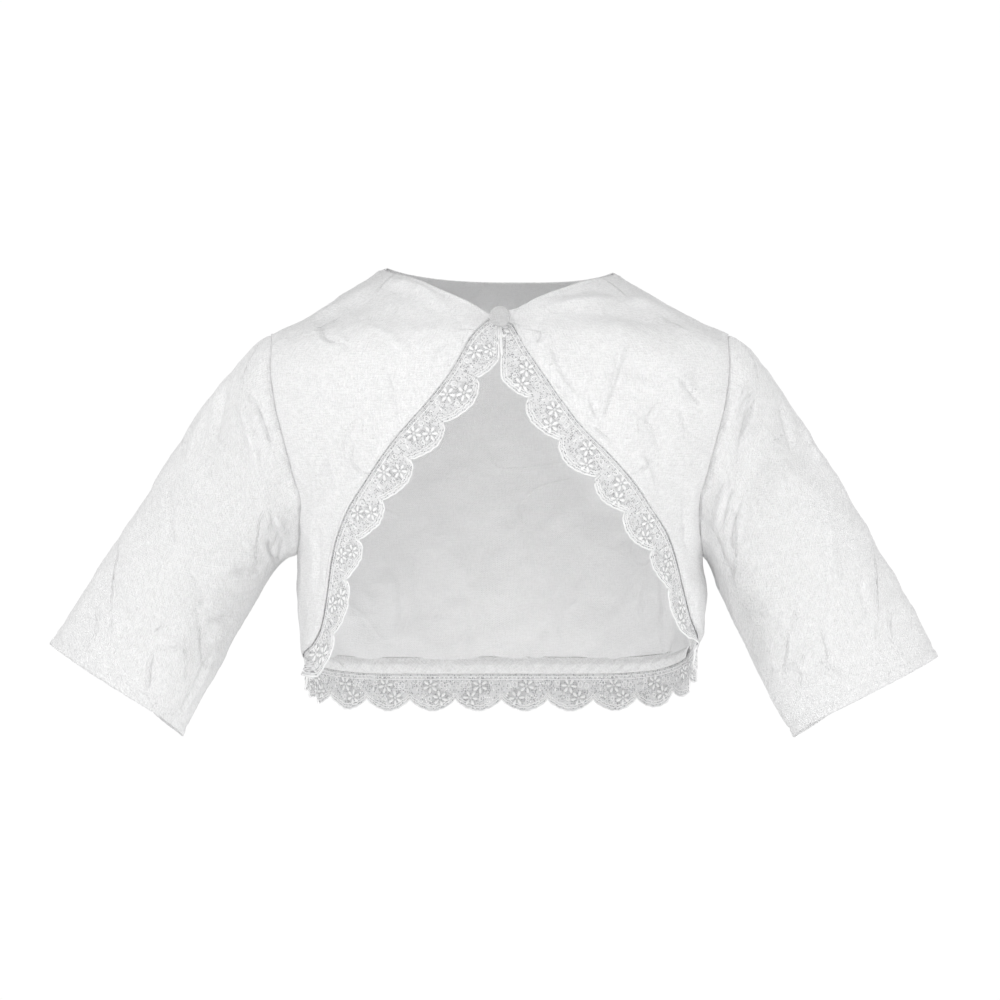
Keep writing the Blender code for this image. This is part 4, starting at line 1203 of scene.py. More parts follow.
def build_front(side, panel, material):
    """One front, worked out on the wearer's left and mirrored for the right."""
    creases = flipped(BODY_CREASES, side)
    points = with_detail(panel, creases, ("end",), FRONT_HEMS, SEEDS[f"front_{side}"])
    points = turned_in(points, form_normal(panel["places"][:, -1]), allowance_depth(points[:, -1]))
    grain = allowance_grain(grain_of(panel["places"]))
    points = mirrored(points) if side == "right" else points
    return shell(f"cloth_front_{side}", points, CLOTH_SHELL, grain, material)


def build_back(panel, material, inside):
    """The back, whose inner faces have a material of their own."""
    points = with_detail(panel, BODY_CREASES, ("start", "end"), BACK_HEMS, SEEDS["back"])
    grain = grain_of(panel["places"])
    for k in (-1, 0):
        points = turned_in(points, form_normal(panel["places"][:, k]), allowance_depth(points[:, -1]))
        points, grain = points[:, ::-1], allowance_grain(grain)[:, ::-1]
    cloth = shell("cloth_back", points, CLOTH_SHELL, grain, material)
    cloth.data.materials.append(inside)
    squares = (points.shape[0] - 1) * (points.shape[1] - 1)
    faces = np.arange(len(cloth.data.polygons))
    inner = (faces >= squares) & (faces < 2 * squares)
    cloth.data.polygons.foreach_set("material_index", inner.astype(np.int32))
    return cloth


def flipped(creases, side):
    """A side's creases as they would lie on the wearer's left, where both sides are worked out."""
    sign = 1 if side == "left" else -1
    turn = np.array([1, sign, 1, sign, 1, sign, 1, 1, 1])
    return [tuple(np.array(crease) * turn) for crease in creases]


def armhole_ring():
    """The armhole seam's points and the form's normals there.

    They run from the shoulder point down the front and up the back.
    """
    front = resampled(armhole_line(True), SLEEVE_HALF)[::-1]
    back = resampled(armhole_line(False), SLEEVE_HALF)[1:-1]
    places = np.concatenate([front, back])
    points = body_point(places[:, 0], places[:, 1])
    points[[0, SLEEVE_HALF], 1] = 0
    return points, form_normal(places)


def sleeve_surface(side):
    """The sleeve's folded net, its normals and the armhole's, a seam gap off the armhole seam."""
    armhole, normal = armhole_ring()
    net = sleeve_net(side, armhole)
    net, normals = folded(net, on_left(SLEEVE_FOLDS[side], side), True, ("bottom",))
    out = unit(np.cross(np.roll(armhole, -1, axis=0) - np.roll(armhole, 1, axis=0), normal))
    out *= np.sign((out * (net[6] - net[0])).sum(-1, keepdims=True))
    low = smooth_step((UNDERARM_Z + WIDER_GAP_HEIGHT - armhole[:, 2:]) / WIDER_GAP_HEIGHT)
    fade = 1 - smooth_step(edge_distances(net)["bottom"] / GAP_FADE)
    return net + out * SEAM_GAP * (1 + low) * fade[..., None], normals, normal


def build_sleeve(side, material):
    """One sleeve. Returns it with the line of its cuff's stitches and that line's normals."""
    net, normals, armhole_normal = sleeve_surface(side)
    down = edge_distances(net)["bottom"]
    up = down[-1:] - down
    around = along_rows(np.concatenate([net, net[:, :1]], axis=1))
    from_under = np.abs(around[:, :-1] - around[:, SLEEVE_HALF : SLEEVE_HALF + 1])
    back_half = np.arange(net.shape[1]) > SLEEVE_HALF
    across = np.where(back_half, around[:, :-1] - around[:, -1:], around[:, :-1])
    relief = crease_height(net, normals, flipped(SLEEVE_CREASES[side], side))
    relief += rumple(net, SEEDS[f"sleeve_{side}"])
    relief *= smooth_step(down / CREASE_FADE) * smooth_step(up / CREASE_FADE)
    relief *= smooth_step(from_under / CREASE_FADE)
    relief += seam_relief(down, around[:1, :-1], SEEDS["armhole"])
    relief += hem_relief(up, around[-1:, :-1], CUFF_HEM, SEEDS["cuff"], CUFF_DIP, CUFF_SPREAD)
    relief += seam_relief(from_under, down, SEEDS["underarm"]) * SLEEVE_SEAM_SHARE
    net = net + normals * relief[..., None]
    depth = np.full(net.shape[1], ALLOWANCE)
    net = turned_in(net[::-1].swapaxes(0, 1), armhole_normal, depth).swapaxes(0, 1)[::-1]
    grain = np.stack([across, -down], axis=-1)
    grain = np.concatenate([np.repeat(grain[:1], len(ALLOWANCE_ROWS), axis=0), grain])
    net = mirrored(net) if side == "right" else net
    cloth = shell(f"cloth_sleeve_{side}", net, CLOTH_SHELL, grain, material, closed=True)
    row = int(np.argmin(np.abs(up.mean(axis=1) - CUFF_HEM))) + len(ALLOWANCE_ROWS)
    line, outward = net[row], normals_of(net, True)[row] * (-1 if side == "right" else 1)
    return cloth, np.concatenate([line, line[:1]]), np.concatenate([outward, outward[:1]])


def lace_sheet(panel, name):
    """The lace's surface, as points and normals at steps along the edge and past it.

    Its border is how far past the edge it reaches at each step.
    """
    edge = free_edge(panel, name)
    whole = length_along(edge["point"])[-1]
    start = LACE_START[name] - LACE_MORE[name]
    at = np.linspace(start, whole, int((whole - start) / LACE_STEP) + 1)
    past = np.arange(-LACE_HEAD, LACE_TIP + LACE_MARGIN, LACE_STEP)
    edge = read_along(edge, at)
    notch = whole / 2 if name == "back" else FIRST_NOTCH[name]
    pitch = SCALLOP[name]
    phase = (at - notch) / pitch
    reach = scallop_reach((phase + 1e-9) % 1, PEAK_SHARE[name])
    if name != "back":
        reach = np.minimum(reach, room_at_centre(edge, reach))
    shares, degrees = [column(LACE_LEAN[name], LEAN_COLUMNS, column_name) for column_name in LEAN_COLUMNS]
    lean = np.radians(smooth_curve(shares, degrees, at / whole))
    out = np.maximum(past, 0)[:, None]
    wave = LACE_RIPPLE * (out / LACE_TIP) ** 2 * np.sin(2 * math.pi * phase)
    wave += LACE_FLUTTER * (out / LACE_TIP) * np.sin(2 * math.pi * (at / 8.3 + 0.3 * np.sin(at / 13)))
    across = np.minimum(past, 0)[:, None] + out * np.cos(lean)
    lift = wave + out * np.sin(lean) - LACE_BEHIND
    points = beside_edge(edge, across, lift)
    if name == "right":
        points = mirrored(points)
    return {
        "at": at,
        "past": past,
        "points": points,
        "normals": normals_of(points, False),
        "border": reach,
        "notch": notch,
        "pitch": pitch,
        "whole": whole,
    }


def on_lace(sheet, flat):
    """Flat work bent onto the lace. Its columns are mm along the edge, past it, and off the lace."""
    i = np.interp(flat[:, 0], sheet["at"], np.arange(len(sheet["at"])))
    j = np.interp(flat[:, 1], sheet["past"], np.arange(len(sheet["past"])))
    i0 = np.minimum(i.astype(int), len(sheet["at"]) - 2)
    j0 = np.minimum(j.astype(int), len(sheet["past"]) - 2)
    di, dj = (i - i0)[:, None], (j - j0)[:, None]

    def read(grid):
        low = grid[j0, i0] * (1 - di) + grid[j0, i0 + 1] * di
        high = grid[j0 + 1, i0] * (1 - di) + grid[j0 + 1, i0 + 1] * di
        return low * (1 - dj) + high * dj

    return read(sheet["points"]) + unit(read(sheet["normals"])) * flat[:, 2:]


def border_at(sheet, at):
    return np.interp(at, sheet["at"], sheet["border"])


def motifs_of(sheet, name):
    """Each motif's kind, place on the lace and size, and which way round its scallop is."""
    pitch = sheet["pitch"]
    first = math.ceil((sheet["at"][0] - sheet["notch"]) / pitch) - 1
    last = math.floor((sheet["whole"] - sheet["notch"]) / pitch) + 1
    found = []
    for number in range(first, last):
        turned = TURNED[name][(number + len(TURNED[name]) // 2 + 1) % len(TURNED[name])]
        for kind, share, past, size in MOTIFS:
            at = sheet["notch"] + (number + (1 - share if turned else share)) * pitch
            room = border_at(sheet, at) - past
            inside = sheet["at"][0] + size < at < sheet["whole"] - size / 2
            if inside and room > (DAISY_ROOM if kind == "daisy" else size):
                found.append((kind, at, past, size, -1 if turned else 1))
    return found


def net_meshes(sheet):
    """The six-sided meshes of the lace's net.

    Returns where their middles are, whether each is in an odd column, the corners that they share
    and which corners are each mesh's.
    """
    row_pitch = NET_PITCH * math.sqrt(3) / 2
    rows = np.arange(-LACE_HEAD, LACE_TIP + 1, row_pitch)
    columns = np.arange(sheet["at"][0], sheet["whole"] + NET_PITCH, NET_PITCH)
    at = columns[None] + NET_PITCH / 2 * (np.arange(len(rows)) % 2)[:, None]
    past = rows[:, None] + 0 * at
    odd = (np.arange(len(columns))[None] + 0 * rows[:, None]).astype(int) % 2 == 1
    at, past, odd = at.ravel(), past.ravel(), odd.ravel()
    keep = (border_at(sheet, at) - past > -NET_OVERLAP * NET_PITCH) & (at < sheet["whole"])
    at, past, odd = at[keep], past[keep], odd[keep]
    angle = np.radians(30 + 60 * np.arange(6))
    radius = NET_PITCH / math.sqrt(3)
    corners = np.stack(
        [at[:, None] + radius * np.cos(angle), past[:, None] + radius * np.sin(angle)], axis=-1
    )
    shared, index = np.unique(np.round(corners.reshape(-1, 2), 3), axis=0, return_inverse=True)
    shared[:, 0] = np.clip(shared[:, 0], sheet["at"][0], sheet["whole"])
    shared[:, 1] = np.clip(shared[:, 1], -LACE_HEAD, border_at(sheet, shared[:, 0]))
    return at, past, odd, shared, index.reshape(-1, 6)


def open_meshes(sheet, motifs, open_share, at, past, odd):
    """Which meshes are open: some between the motifs, and every other one along the head."""
    rng = np.random.default_rng(SEEDS["net"])
    room = border_at(sheet, at) - past
    before_end = at < sheet["whole"] - CLOSED_END
    opened = rng.random(len(at)) < open_share
    for kind, x, y, size, _ in motifs:
        opened &= np.hypot(at - x, past - y) > (CLOSED_DAISY * size if kind == "daisy" else size)
    phase = ((at - sheet["notch"]) / sheet["pitch"]) % 1
    opened &= (np.minimum(phase, 1 - phase) > CLOSED_NOTCH) | (past < NOTCH_DEPTH)
    opened &= (room > CLOSED_BORDER) & (past > HEADER) & (at > sheet["at"][0] + CLOSED_END) & before_end
    header = (past > HEADER) & (past < HEADER + NET_PITCH * math.sqrt(3) / 2)
    return np.where(header, ~odd, opened) & (room > CLOSED_BORDER_HEAD) & before_end


def lace_ground(sheet, motifs, open_share):
    """The net, as vertices and faces. An open mesh is a ring of faces round its hole."""
    at, past, odd, shared, index = net_meshes(sheet)
    opened = open_meshes(sheet, motifs, open_share, at, past, odd)
    place = shared[index]
    centre = place.mean(axis=1, keepdims=True)
    inner = (centre + (place - centre) * NET_HOLE)[opened].reshape(-1, 2)
    flat = np.concatenate([shared, inner])
    count = len(flat)
    half = LACE_SHELL / 2
    flat = np.concatenate([np.c_[flat, np.full(count, half)], np.c_[flat, np.full(count, -half)]])
    faces = index[~opened].tolist()
    holes = len(shared) + np.arange(int(opened.sum()) * 6).reshape(-1, 6)
    a, b = index[opened], holes
    a_next, b_next = np.roll(a, -1, axis=1), np.roll(b, -1, axis=1)
    faces += np.stack([a, a_next, b_next, b], axis=-1).reshape(-1, 4).tolist()
    faces += [[v + count for v in face[::-1]] for face in faces]
    faces += np.stack([b, b_next, b_next + count, b + count], axis=-1).reshape(-1, 4).tolist()
    ends = np.stack([index, np.roll(index, -1, axis=1)], axis=-1).reshape(-1, 2)
    _, which, times = np.unique(np.sort(ends, axis=1), axis=0, return_inverse=True, return_counts=True)
    rim = ends[times[which.reshape(-1)] == 1]
    faces += np.stack([rim[:, 1], rim[:, 0], rim[:, 0] + count, rim[:, 1] + count], axis=-1).tolist()
    return flat, faces


def turned_over(faces):
    """The same faces seen from their other side."""
    return [face[::-1] for face in faces]


def ring_faces(count, sides, closed=False, other_way=False):
    """The faces of a row of rings of points, capped at both ends or joined end to end.

    Other way is for rings whose points run the other way round.
    """
    ring = np.arange(count * sides).reshape(count, sides)
    ring = np.concatenate([ring, ring[:, :1]], axis=1)
    caps = [ring[0, :-1].tolist(), ring[-1, -2::-1].tolist()]
    if closed:
        ring = np.concatenate([ring, ring[:1]])
    corners = [ring[:-1, :-1], ring[1:, :-1], ring[1:, 1:], ring[:-1, 1:]]
    if other_way:
        corners, caps = corners[:1] + corners[:0:-1], turned_over(caps)
    faces = np.stack(corners, axis=-1).reshape(-1, 4).tolist()
    return faces if closed else faces + caps


def corners_of(faces):
    """Each corner of each face in turn, as the number of its vertex."""
    return np.concatenate([np.array(face) for face in faces])


def flat_cord(path, radius, closed=False, sides=6):
    """A cord along flat (along, past) places, as vertices with heights, and faces."""
    path = np.asarray(path, float)
    tangent = np.roll(path, -1, axis=0) - np.roll(path, 1, axis=0) if closed else np.gradient(path, axis=0)
    tangent = unit(tangent + 1e-9)
    side = np.stack([tangent[:, 1], -tangent[:, 0]], axis=-1)
    angle = 2 * math.pi * np.arange(sides) / sides
    radius = np.broadcast_to(radius, len(path))[:, None]
    place = path[:, None] + side[:, None] * (radius * np.cos(angle))[..., None]
    flat = np.concatenate([place, (radius * np.sin(angle))[..., None]], axis=-1).reshape(-1, 3)
    return flat, ring_faces(len(path), sides, closed)


def flat_petal(x, y, angle, length, width, height):
    """A padded petal that lies along an angle, widest beyond its middle.

    It has three rings of points, and one point below them and one above.
    """
    around = np.linspace(0, 2 * math.pi, PETAL_SIDES + 1)[:-1]
    flat = []
    for tilt in PETAL_TILTS:
        long = math.cos(tilt) * np.cos(around)
        wide = math.cos(tilt) * np.sin(around) * (0.8 + 0.25 * np.cos(around))
        flat.append(np.stack([long * length / 2, wide * width / 2, 0 * long + math.sin(tilt) * height], -1))
    flat = np.concatenate([*flat, [[0, 0, -height], [0, 0, height]]])
    turn = np.array([[math.cos(angle), math.sin(angle)], [-math.sin(angle), math.cos(angle)]])
    flat[:, :2] = flat[:, :2] @ turn + [x, y]
    faces = []
    upper, top = 2 * PETAL_SIDES, 3 * PETAL_SIDES
    for k in range(PETAL_SIDES):
        n = (k + 1) % PETAL_SIDES
        for low in (0, PETAL_SIDES):
            faces.append([k + low, n + low, n + low + PETAL_SIDES, k + low + PETAL_SIDES])
        faces += [[n, k, top], [k + upper, n + upper, top + 1]]
    return flat, faces


def motif_work(kind, x, y, size, way, number):
    """One embroidered motif, as a list of padded petals and cords."""
    circle = np.linspace(0, 2 * math.pi, 13)[:-1]
    round_off = np.stack([np.cos(circle), np.sin(circle)], axis=-1)
    if kind == "daisy":
        reach, length, width = PETAL_REACH * size, PETAL_LENGTH * size, PETAL_WIDTH * size
        made = []
        for a in DAISY_TURN + DAISY_TURN_STEP * number + np.radians(360 / PETALS) * np.arange(PETALS):
            place = x + reach * math.cos(a), y + reach * math.sin(a)
            made.append(flat_petal(*place, a, length, width, PETAL_HEIGHT))
        return made + [flat_cord([x, y] + EYE_RADIUS * round_off, EYE_CORD, closed=True)]
    if kind == "ring":
        oval = [x, y] + size * round_off * [1, RING_TALLNESS]
        return [flat_cord(oval, RING_CORD, closed=True)]
    return [flat_petal(x, y, math.pi / 2 + BUD_TILT * way, size, BUD_WIDTH * size, BUD_HEIGHT)]


def seed_stitches(sheet, motifs):
    """Short padded stitches strewn over the net between the motifs."""
    rng = np.random.default_rng(SEEDS["seed_stitches"])
    made = []
    for _ in range(int((sheet["whole"] - sheet["at"][0]) * SEEDS_PER_MM)):
        x = rng.uniform(sheet["at"][0] + SEED_FROM_ENDS, sheet["whole"] - SEED_FROM_ENDS)
        y = rng.uniform(HEADER + SEED_FROM_HEADER, LACE_TIP)
        angle, size = rng.uniform(0, math.pi), rng.uniform(*SEED_LENGTHS)
        clear = all(
            math.hypot(x - motif_x, y - motif_y) > MOTIF_ROOM * motif_size + SEED_FROM_MOTIFS
            for _, motif_x, motif_y, motif_size, _ in motifs
        )
        if clear and border_at(sheet, x) - y > FILL_LINES[-1] + SEED_FROM_LINES:
            made.append(flat_petal(x, y, angle, size, SEED_WIDTH, SEED_HEIGHT))
    return made


def header_cords(sheet):
    """The two cords along the lace's straight head, on either side of its row of holes."""
    long = np.arange(sheet["at"][0], sheet["whole"], HEADER_STEP)
    made = []
    for beside in HEADER_CORDS:
        line = np.minimum(HEADER + beside, border_at(sheet, long))
        made.append(flat_cord(np.stack([long, line], axis=-1), HEADER_RADIUS, sides=5))
    return made


def border_cords(sheet):
    """The border's cord and the lines of stitches inside it, as tubes in space."""
    fine = np.arange(sheet["at"][0], sheet["whole"], CORD_STEP)
    border = border_at(sheet, fine)
    rope = CORD_RADIUS * (1 + CORD_SWELL * np.sin(2 * math.pi * fine / CORD_TWIST))
    made = [tube(on_lace(sheet, np.stack([fine, border, 0 * fine], axis=-1)), rope, sides=8)]
    for back in FILL_LINES:
        line = border - back + FILL_SWAY * np.sin(2 * math.pi * fine / FILL_WAVE)
        seen = line > HEADER + 2
        for part in np.split(np.arange(len(fine)), np.flatnonzero(np.diff(seen.astype(int))) + 1):
            if seen[part[0]] and len(part) > 6:
                path = np.stack([fine[part], line[part], 0 * line[part]], axis=-1)
                made.append(tube(on_lace(sheet, path), np.full(len(part), FILL_RADIUS), sides=5))
    return made


def tube(path, radius, plies=0, sides=10):
    """A round cord in space, as points and faces, with a radius for each point of its path.

    With plies it is twisted.
    """
    along = unit(np.gradient(path, axis=0))
    side = unit(np.cross(along, [0.31, 0.2, 0.93]))
    up = np.cross(along, side)
    angle = 2 * math.pi * np.arange(sides) / sides
    twist = (length_along(path) / radius * PLY_TWIST)[:, None]
    ridges = PLY_DEPTH * np.cos(plies * (angle - twist)) if plies else 0
    thick = radius[:, None] * (1 + ridges + 0 * angle)
    points = path[:, None] + side[:, None] * (thick * np.cos(angle))[..., None]
    points = points + up[:, None] * (thick * np.sin(angle))[..., None]
    return points.reshape(-1, 3), ring_faces(len(path), sides, other_way=True)


def gathered(parts):
    """Several (vertices, faces) joined into one."""
    vertices, faces, count = [], [], 0
    for points, polygons in parts:
        faces += [[v + count for v in face] for face in polygons]
        vertices.append(points)
        count += len(points)
    return np.concatenate(vertices), faces


def build_lace(name, panel, nets, material):
    """One length of lace: its net, darker with painted shadow under and round the daisies, and its
    embroidery.
    """
    label = "back" if name == "back" else f"front_{name}"
    sheet = lace_sheet(panel, name)
    motifs = motifs_of(sheet, name)
    flat, faces = lace_ground(sheet, motifs, NET_OPEN_SHARE[name])
    corners = flat[corners_of(faces), :2]
    ground = mesh_object(f"lace_{label}_net", on_lace(sheet, flat), faces, nets[0], corners)
    ground.data.materials.append(nets[1])
    centres = np.array([flat[face, :2].mean(axis=0) for face in faces])
    # Faces near a daisy's middle take the second net, whose darker grey is painted shadow round the padded
    # petals
    inside = np.zeros(len(faces), bool)
    for kind, x, y, size, _ in motifs:
        if kind == "daisy":
            inside |= np.hypot(centres[:, 0] - x, centres[:, 1] - y) < size * DAISY_SHADOW_REACH
    ground.data.polygons.foreach_set("material_index", inside.astype(np.int32))
    work = header_cords(sheet) + seed_stitches(sheet, motifs)
    for number, (kind, x, y, size, way) in enumerate(motifs):
        work += motif_work(kind, x, y, size, way, number)
    flat, faces = gathered(work)
    points, faces = gathered([(on_lace(sheet, flat), faces), *border_cords(sheet)])
    embroidery = mesh_object(f"lace_{label}_embroidery", points, faces, material)
    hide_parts(f"lace_{label}")
    return ground, embroidery


def build_band(panel, material):
    """The bias band inside the back hem, with the slanting ripples of cloth cut on the cross."""
    heights = np.linspace(BAND_START, BAND_HEIGHT, BAND_ROWS + 1)
    up = edge_distances(panel["points"])["bottom"]
    points = read_columns(panel["points"], up, heights)
    normals = unit(read_columns(panel["normals"], up, heights))
    along = length_along(points[0])[None]
    share = (heights / BAND_HEIGHT)[:, None]
    slant = along + RIPPLE_SLANT * share
    # Slow waves with no common length vary the ripples' spacing and height
    wander = 0.5 * np.sin(slant / 31.0) + 0.3 * np.sin(slant / 13.0)
    ripple = np.sin(2 * math.pi * (slant / RIPPLE_LENGTH + wander))
    ripple *= 0.4 + 0.6 * np.sin(slant / 47.0) ** 2
    crown = np.sin(math.pi * share)
    lift = BAND_RIPPLE * ripple * crown**0.7 + BAND_CROWN * crown
    rest = BAND_INSIDE - BAND_LEAN * smooth_step((share - 0.5) / 0.5)
    net = points - normals * (rest + lift)[..., None]
    grain = np.stack([along + 0 * share, heights[:, None] + 0 * along], axis=-1)
    bias = np.array([[1, 1], [-1, 1]]) / math.sqrt(2)
    return shell("cloth_hem_band", net, BAND_SHELL, grain @ bias, material)


def button_place():
    """The button's foot on the left front, the way it faces, and the way round it."""
    turn = turn_of(np.array([BUTTON_X]), np.array([BUTTON_Z]))
    place = np.stack([turn, [BUTTON_Z]], axis=-1)
    normal = form_normal(place)[0]
    foot = body_point(turn, np.array([BUTTON_Z]))[0] + normal * (CLOTH_THICK / 2 + LAYER_GAP)
    out = unit(normal + [0, -1, 0])
    side = unit(np.cross(out, [0, 0, 1.0]))
    return foot, out, side


def button_profile():
    """The button's radius and height, from its foot up the shank and over the dome."""
    profile = [(SHANK_RADIUS, 0.0), (SHANK_RADIUS, SHANK_LENGTH)]
    for share, height in BUTTON_UNDERSIDE:
        profile.append((share * BUTTON_RADIUS, SHANK_LENGTH + height * BUTTON_THICK))
    for a in np.linspace(0, math.pi / 2, 15)[:-1]:
        height = SHANK_LENGTH + BUTTON_THICK * (BUTTON_RIM + (1 - BUTTON_RIM) * math.sin(a))
        profile.append((BUTTON_RADIUS * math.cos(a) ** 0.9, height))
    return profile


def build_button(foot, out, side, material):
    """A covered button: a low dome of cloth, drawn in round its rim, on a shank."""
    up = np.cross(side, out)
    profile = button_profile()
    angle = 2 * math.pi * np.arange(BUTTON_SIDES) / BUTTON_SIDES
    points, grain = [], []
    for radius, height in profile:
        share = max(0.0, radius / BUTTON_RADIUS - GATHER_START) / (1 - GATHER_START)
        drawn = GATHER_DEPTH * share * np.sin(GATHERS * angle + np.sin(3 * angle))
        wide = (radius + 0.6 * drawn)[:, None] * np.stack([np.cos(angle), np.sin(angle)], axis=-1)
        points.append(foot + out * (height + drawn)[:, None] + wide[:, :1] * side + wide[:, 1:] * up)
        grain.append(wide)
    faces = ring_faces(len(profile), BUTTON_SIDES)
    corners = np.concatenate(grain)[corners_of(faces)]
    button = mesh_object("button_cover", np.concatenate(points), faces, material, corners)
    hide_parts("button")


def build_loop(foot, out, side, material):
    """The thread loop that goes round the button's shank."""
    bend = SHANK_RADIUS + LOOP_RADIUS + SEAM_GAP
    up = np.cross(side, out)
    away = side if side[0] > 0 else -side
    reach = np.linspace(LOOP_LEG, 0, 12)[:-1]
    route = [foot - away * r + up * bend for r in reach]
    route += [foot + (away * math.sin(a) + up * math.cos(a)) * bend for a in np.linspace(0, math.pi, 14)]
    route += [foot - away * r - up * bend for r in reach[::-1]]
    route = np.array(route) + out * LOOP_RADIUS
    points, faces = tube(route, np.full(len(route), LOOP_RADIUS), plies=PLIES)
    loop = mesh_object("button_loop_thread", points, faces, material)
    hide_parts("button_loop")


def stitch_row(line, outward):
    """Short stitches that arch along a line of points on the cloth."""
    along = length_along(line)
    starts = np.arange(STITCH_START, along[-1] - STITCH_LENGTH - 1, STITCH_PITCH)
    share = np.linspace(0, 1, STITCH_SECTIONS)
    angle = 2 * math.pi * np.arange(STITCH_SECTIONS) / STITCH_SECTIONS
    at = starts[:, None] + STITCH_LENGTH * share
    middle, normal = read_line(line, along, at), unit(read_line(outward, along, at))
    middle = middle + normal * (STITCH_LIFT + STITCH_RADIUS * (np.sin(math.pi * share) - 0.5))[..., None]
    side = unit(np.cross(np.gradient(middle, axis=1), normal))
    thick = STITCH_RADIUS * np.sqrt(np.maximum(1 - (2 * share - 1) ** 4, 0.04))[:, None]
    around = side[:, :, None] * (thick * np.cos(angle))[..., None]
    around = around + normal[:, :, None] * (thick * np.sin(angle))[..., None]
    points = (middle[:, :, None] + around).reshape(-1, 3)
    shape = (len(starts), STITCH_SECTIONS, STITCH_SECTIONS)
    ring = np.arange(math.prod(shape)).reshape(shape)
    ring = np.concatenate([ring, ring[:, :, :1]], axis=2)
    faces = np.stack([ring[:, :-1, :-1], ring[:, 1:, :-1], ring[:, 1:, 1:], ring[:, :-1, 1:]], axis=-1)
    caps = [*ring[:, 0, :-1].tolist(), *ring[:, -1, -2::-1].tolist()]
    return points, faces.reshape(-1, 4).tolist() + caps


def hem_line(panel, name, width):
    """The line of a panel's points this far inside one of its edges, with normals."""
    distance = edge_distances(panel["points"])[name]
    points, normals = panel["points"], panel["normals"]
    if name in ("start", "end"):
        distance, points, normals = distance.T, points.swapaxes(0, 1), normals.swapaxes(0, 1)
    if name in ("end", "top"):
        distance, points, normals = distance[::-1], points[::-1], normals[::-1]
    return read_columns(points, distance, width), unit(read_columns(normals, distance, width))


def hem_stitches(panel, hems):
    """The rows of stitches of a panel's hems, as points and faces."""
    return gathered([stitch_row(*hem_line(panel, name, width)) for name, width in hems.items()])


def build_stitches(panels, cuffs, material):
    """The visible rows of stitches, each with the name of the piece that it is sewn to."""
    for side in SIDES:
        points, faces = hem_stitches(panels[side], FRONT_HEMS)
        if side == "right":
            points, faces = mirrored(points), turned_over(faces)
        yield f"cloth_front_{side}", mesh_object(f"stitches_front_{side}", points, faces, material)
        points, faces = stitch_row(*cuffs[side])
        yield f"cloth_sleeve_{side}", mesh_object(f"stitches_cuff_{side}", points, faces, material)
    points, faces = hem_stitches(panels["back"], BACK_HEMS)
    yield "cloth_back", mesh_object("stitches_back", points, faces, material)


class Nodes:
    """A material under construction, with short ways to add its nodes."""

    def __init__(self, name, colour, roughness):
        self.material = bpy.data.materials.new(name)
        self.material.use_nodes = True
        self.tree = self.material.node_tree
        self.shader = self.tree.nodes["Principled BSDF"]
        self.shader.inputs["Base Color"].default_value = (*colour, 1)
        self.shader.inputs["Roughness"].default_value = roughness

    def add(self, kind, inputs=None, output=0, **settings):
        """Adds a node and returns one of its outputs. Inputs are values or other outputs."""
        made = self.tree.nodes.new(f"ShaderNode{kind}")
        for name, value in settings.items():
            setattr(made, name, value)
        for name, value in (inputs or {}).items():
            if isinstance(value, bpy.types.NodeSocket):
                self.tree.links.new(value, made.inputs[name])
            else:
                made.inputs[name].default_value = value
        return made.outputs[output]

    def math(self, operation, a, b=0.0, c=0.0):
        return self.add("Math", {0: a, 1: b, 2: c}, operation=operation)

    def ranged(self, value, low, high, at_low=0.0, at_high=1.0):
        """The value's share of the way from low to high, turned into the other range."""
        inputs = {"Value": value, "From Min": low, "From Max": high, "To Min": at_low, "To Max": at_high}
        return self.add("MapRange", inputs)

    def mixed(self, share, colour, other):
        """One colour, turned by a share into the other. Each is three numbers or an output."""
        ends = [(*end, 1) if isinstance(end, tuple) else end for end in (colour, other)]
        return self.add("Mix", {0: share, 6: ends[0], 7: ends[1]}, output=2, data_type="RGBA")

    def off_middle(self, value):
        """How far a noise is from its middle value, which it crosses along thin lines."""
        return self.math("ABSOLUTE", self.math("SUBTRACT", value, 0.5))

    def noise(self, place, scale, stretch=(1, 1, 1), detail=2.0, distortion=0.0):
        """Noise over a place, as a value about 0.5, with features of 1 / scale."""
        mapped = self.add("Mapping", {"Vector": place, "Scale": stretch})
        inputs = {"Vector": mapped, "Scale": scale, "Detail": detail, "Distortion": distortion}
        return self.add("TexNoise", inputs, output="Fac")

    def bump(self, height, distance, strength=1.0, normal=None):
        inputs = {"Height": height, "Distance": distance, "Strength": strength}
        if normal is not None:
            inputs["Normal"] = normal
        return self.add("Bump", inputs)

    def link(self, value, name):
        self.tree.links.new(value, self.shader.inputs[name])

    def finish(self, **levels):
        """Sets what is the same all over the surface, and returns the material."""
        for name, value in levels.items():
            self.shader.inputs[name.replace("_", " ")].default_value = value
        return self.material


def shaded(colour, share):
    return tuple(part * share for part in colour)


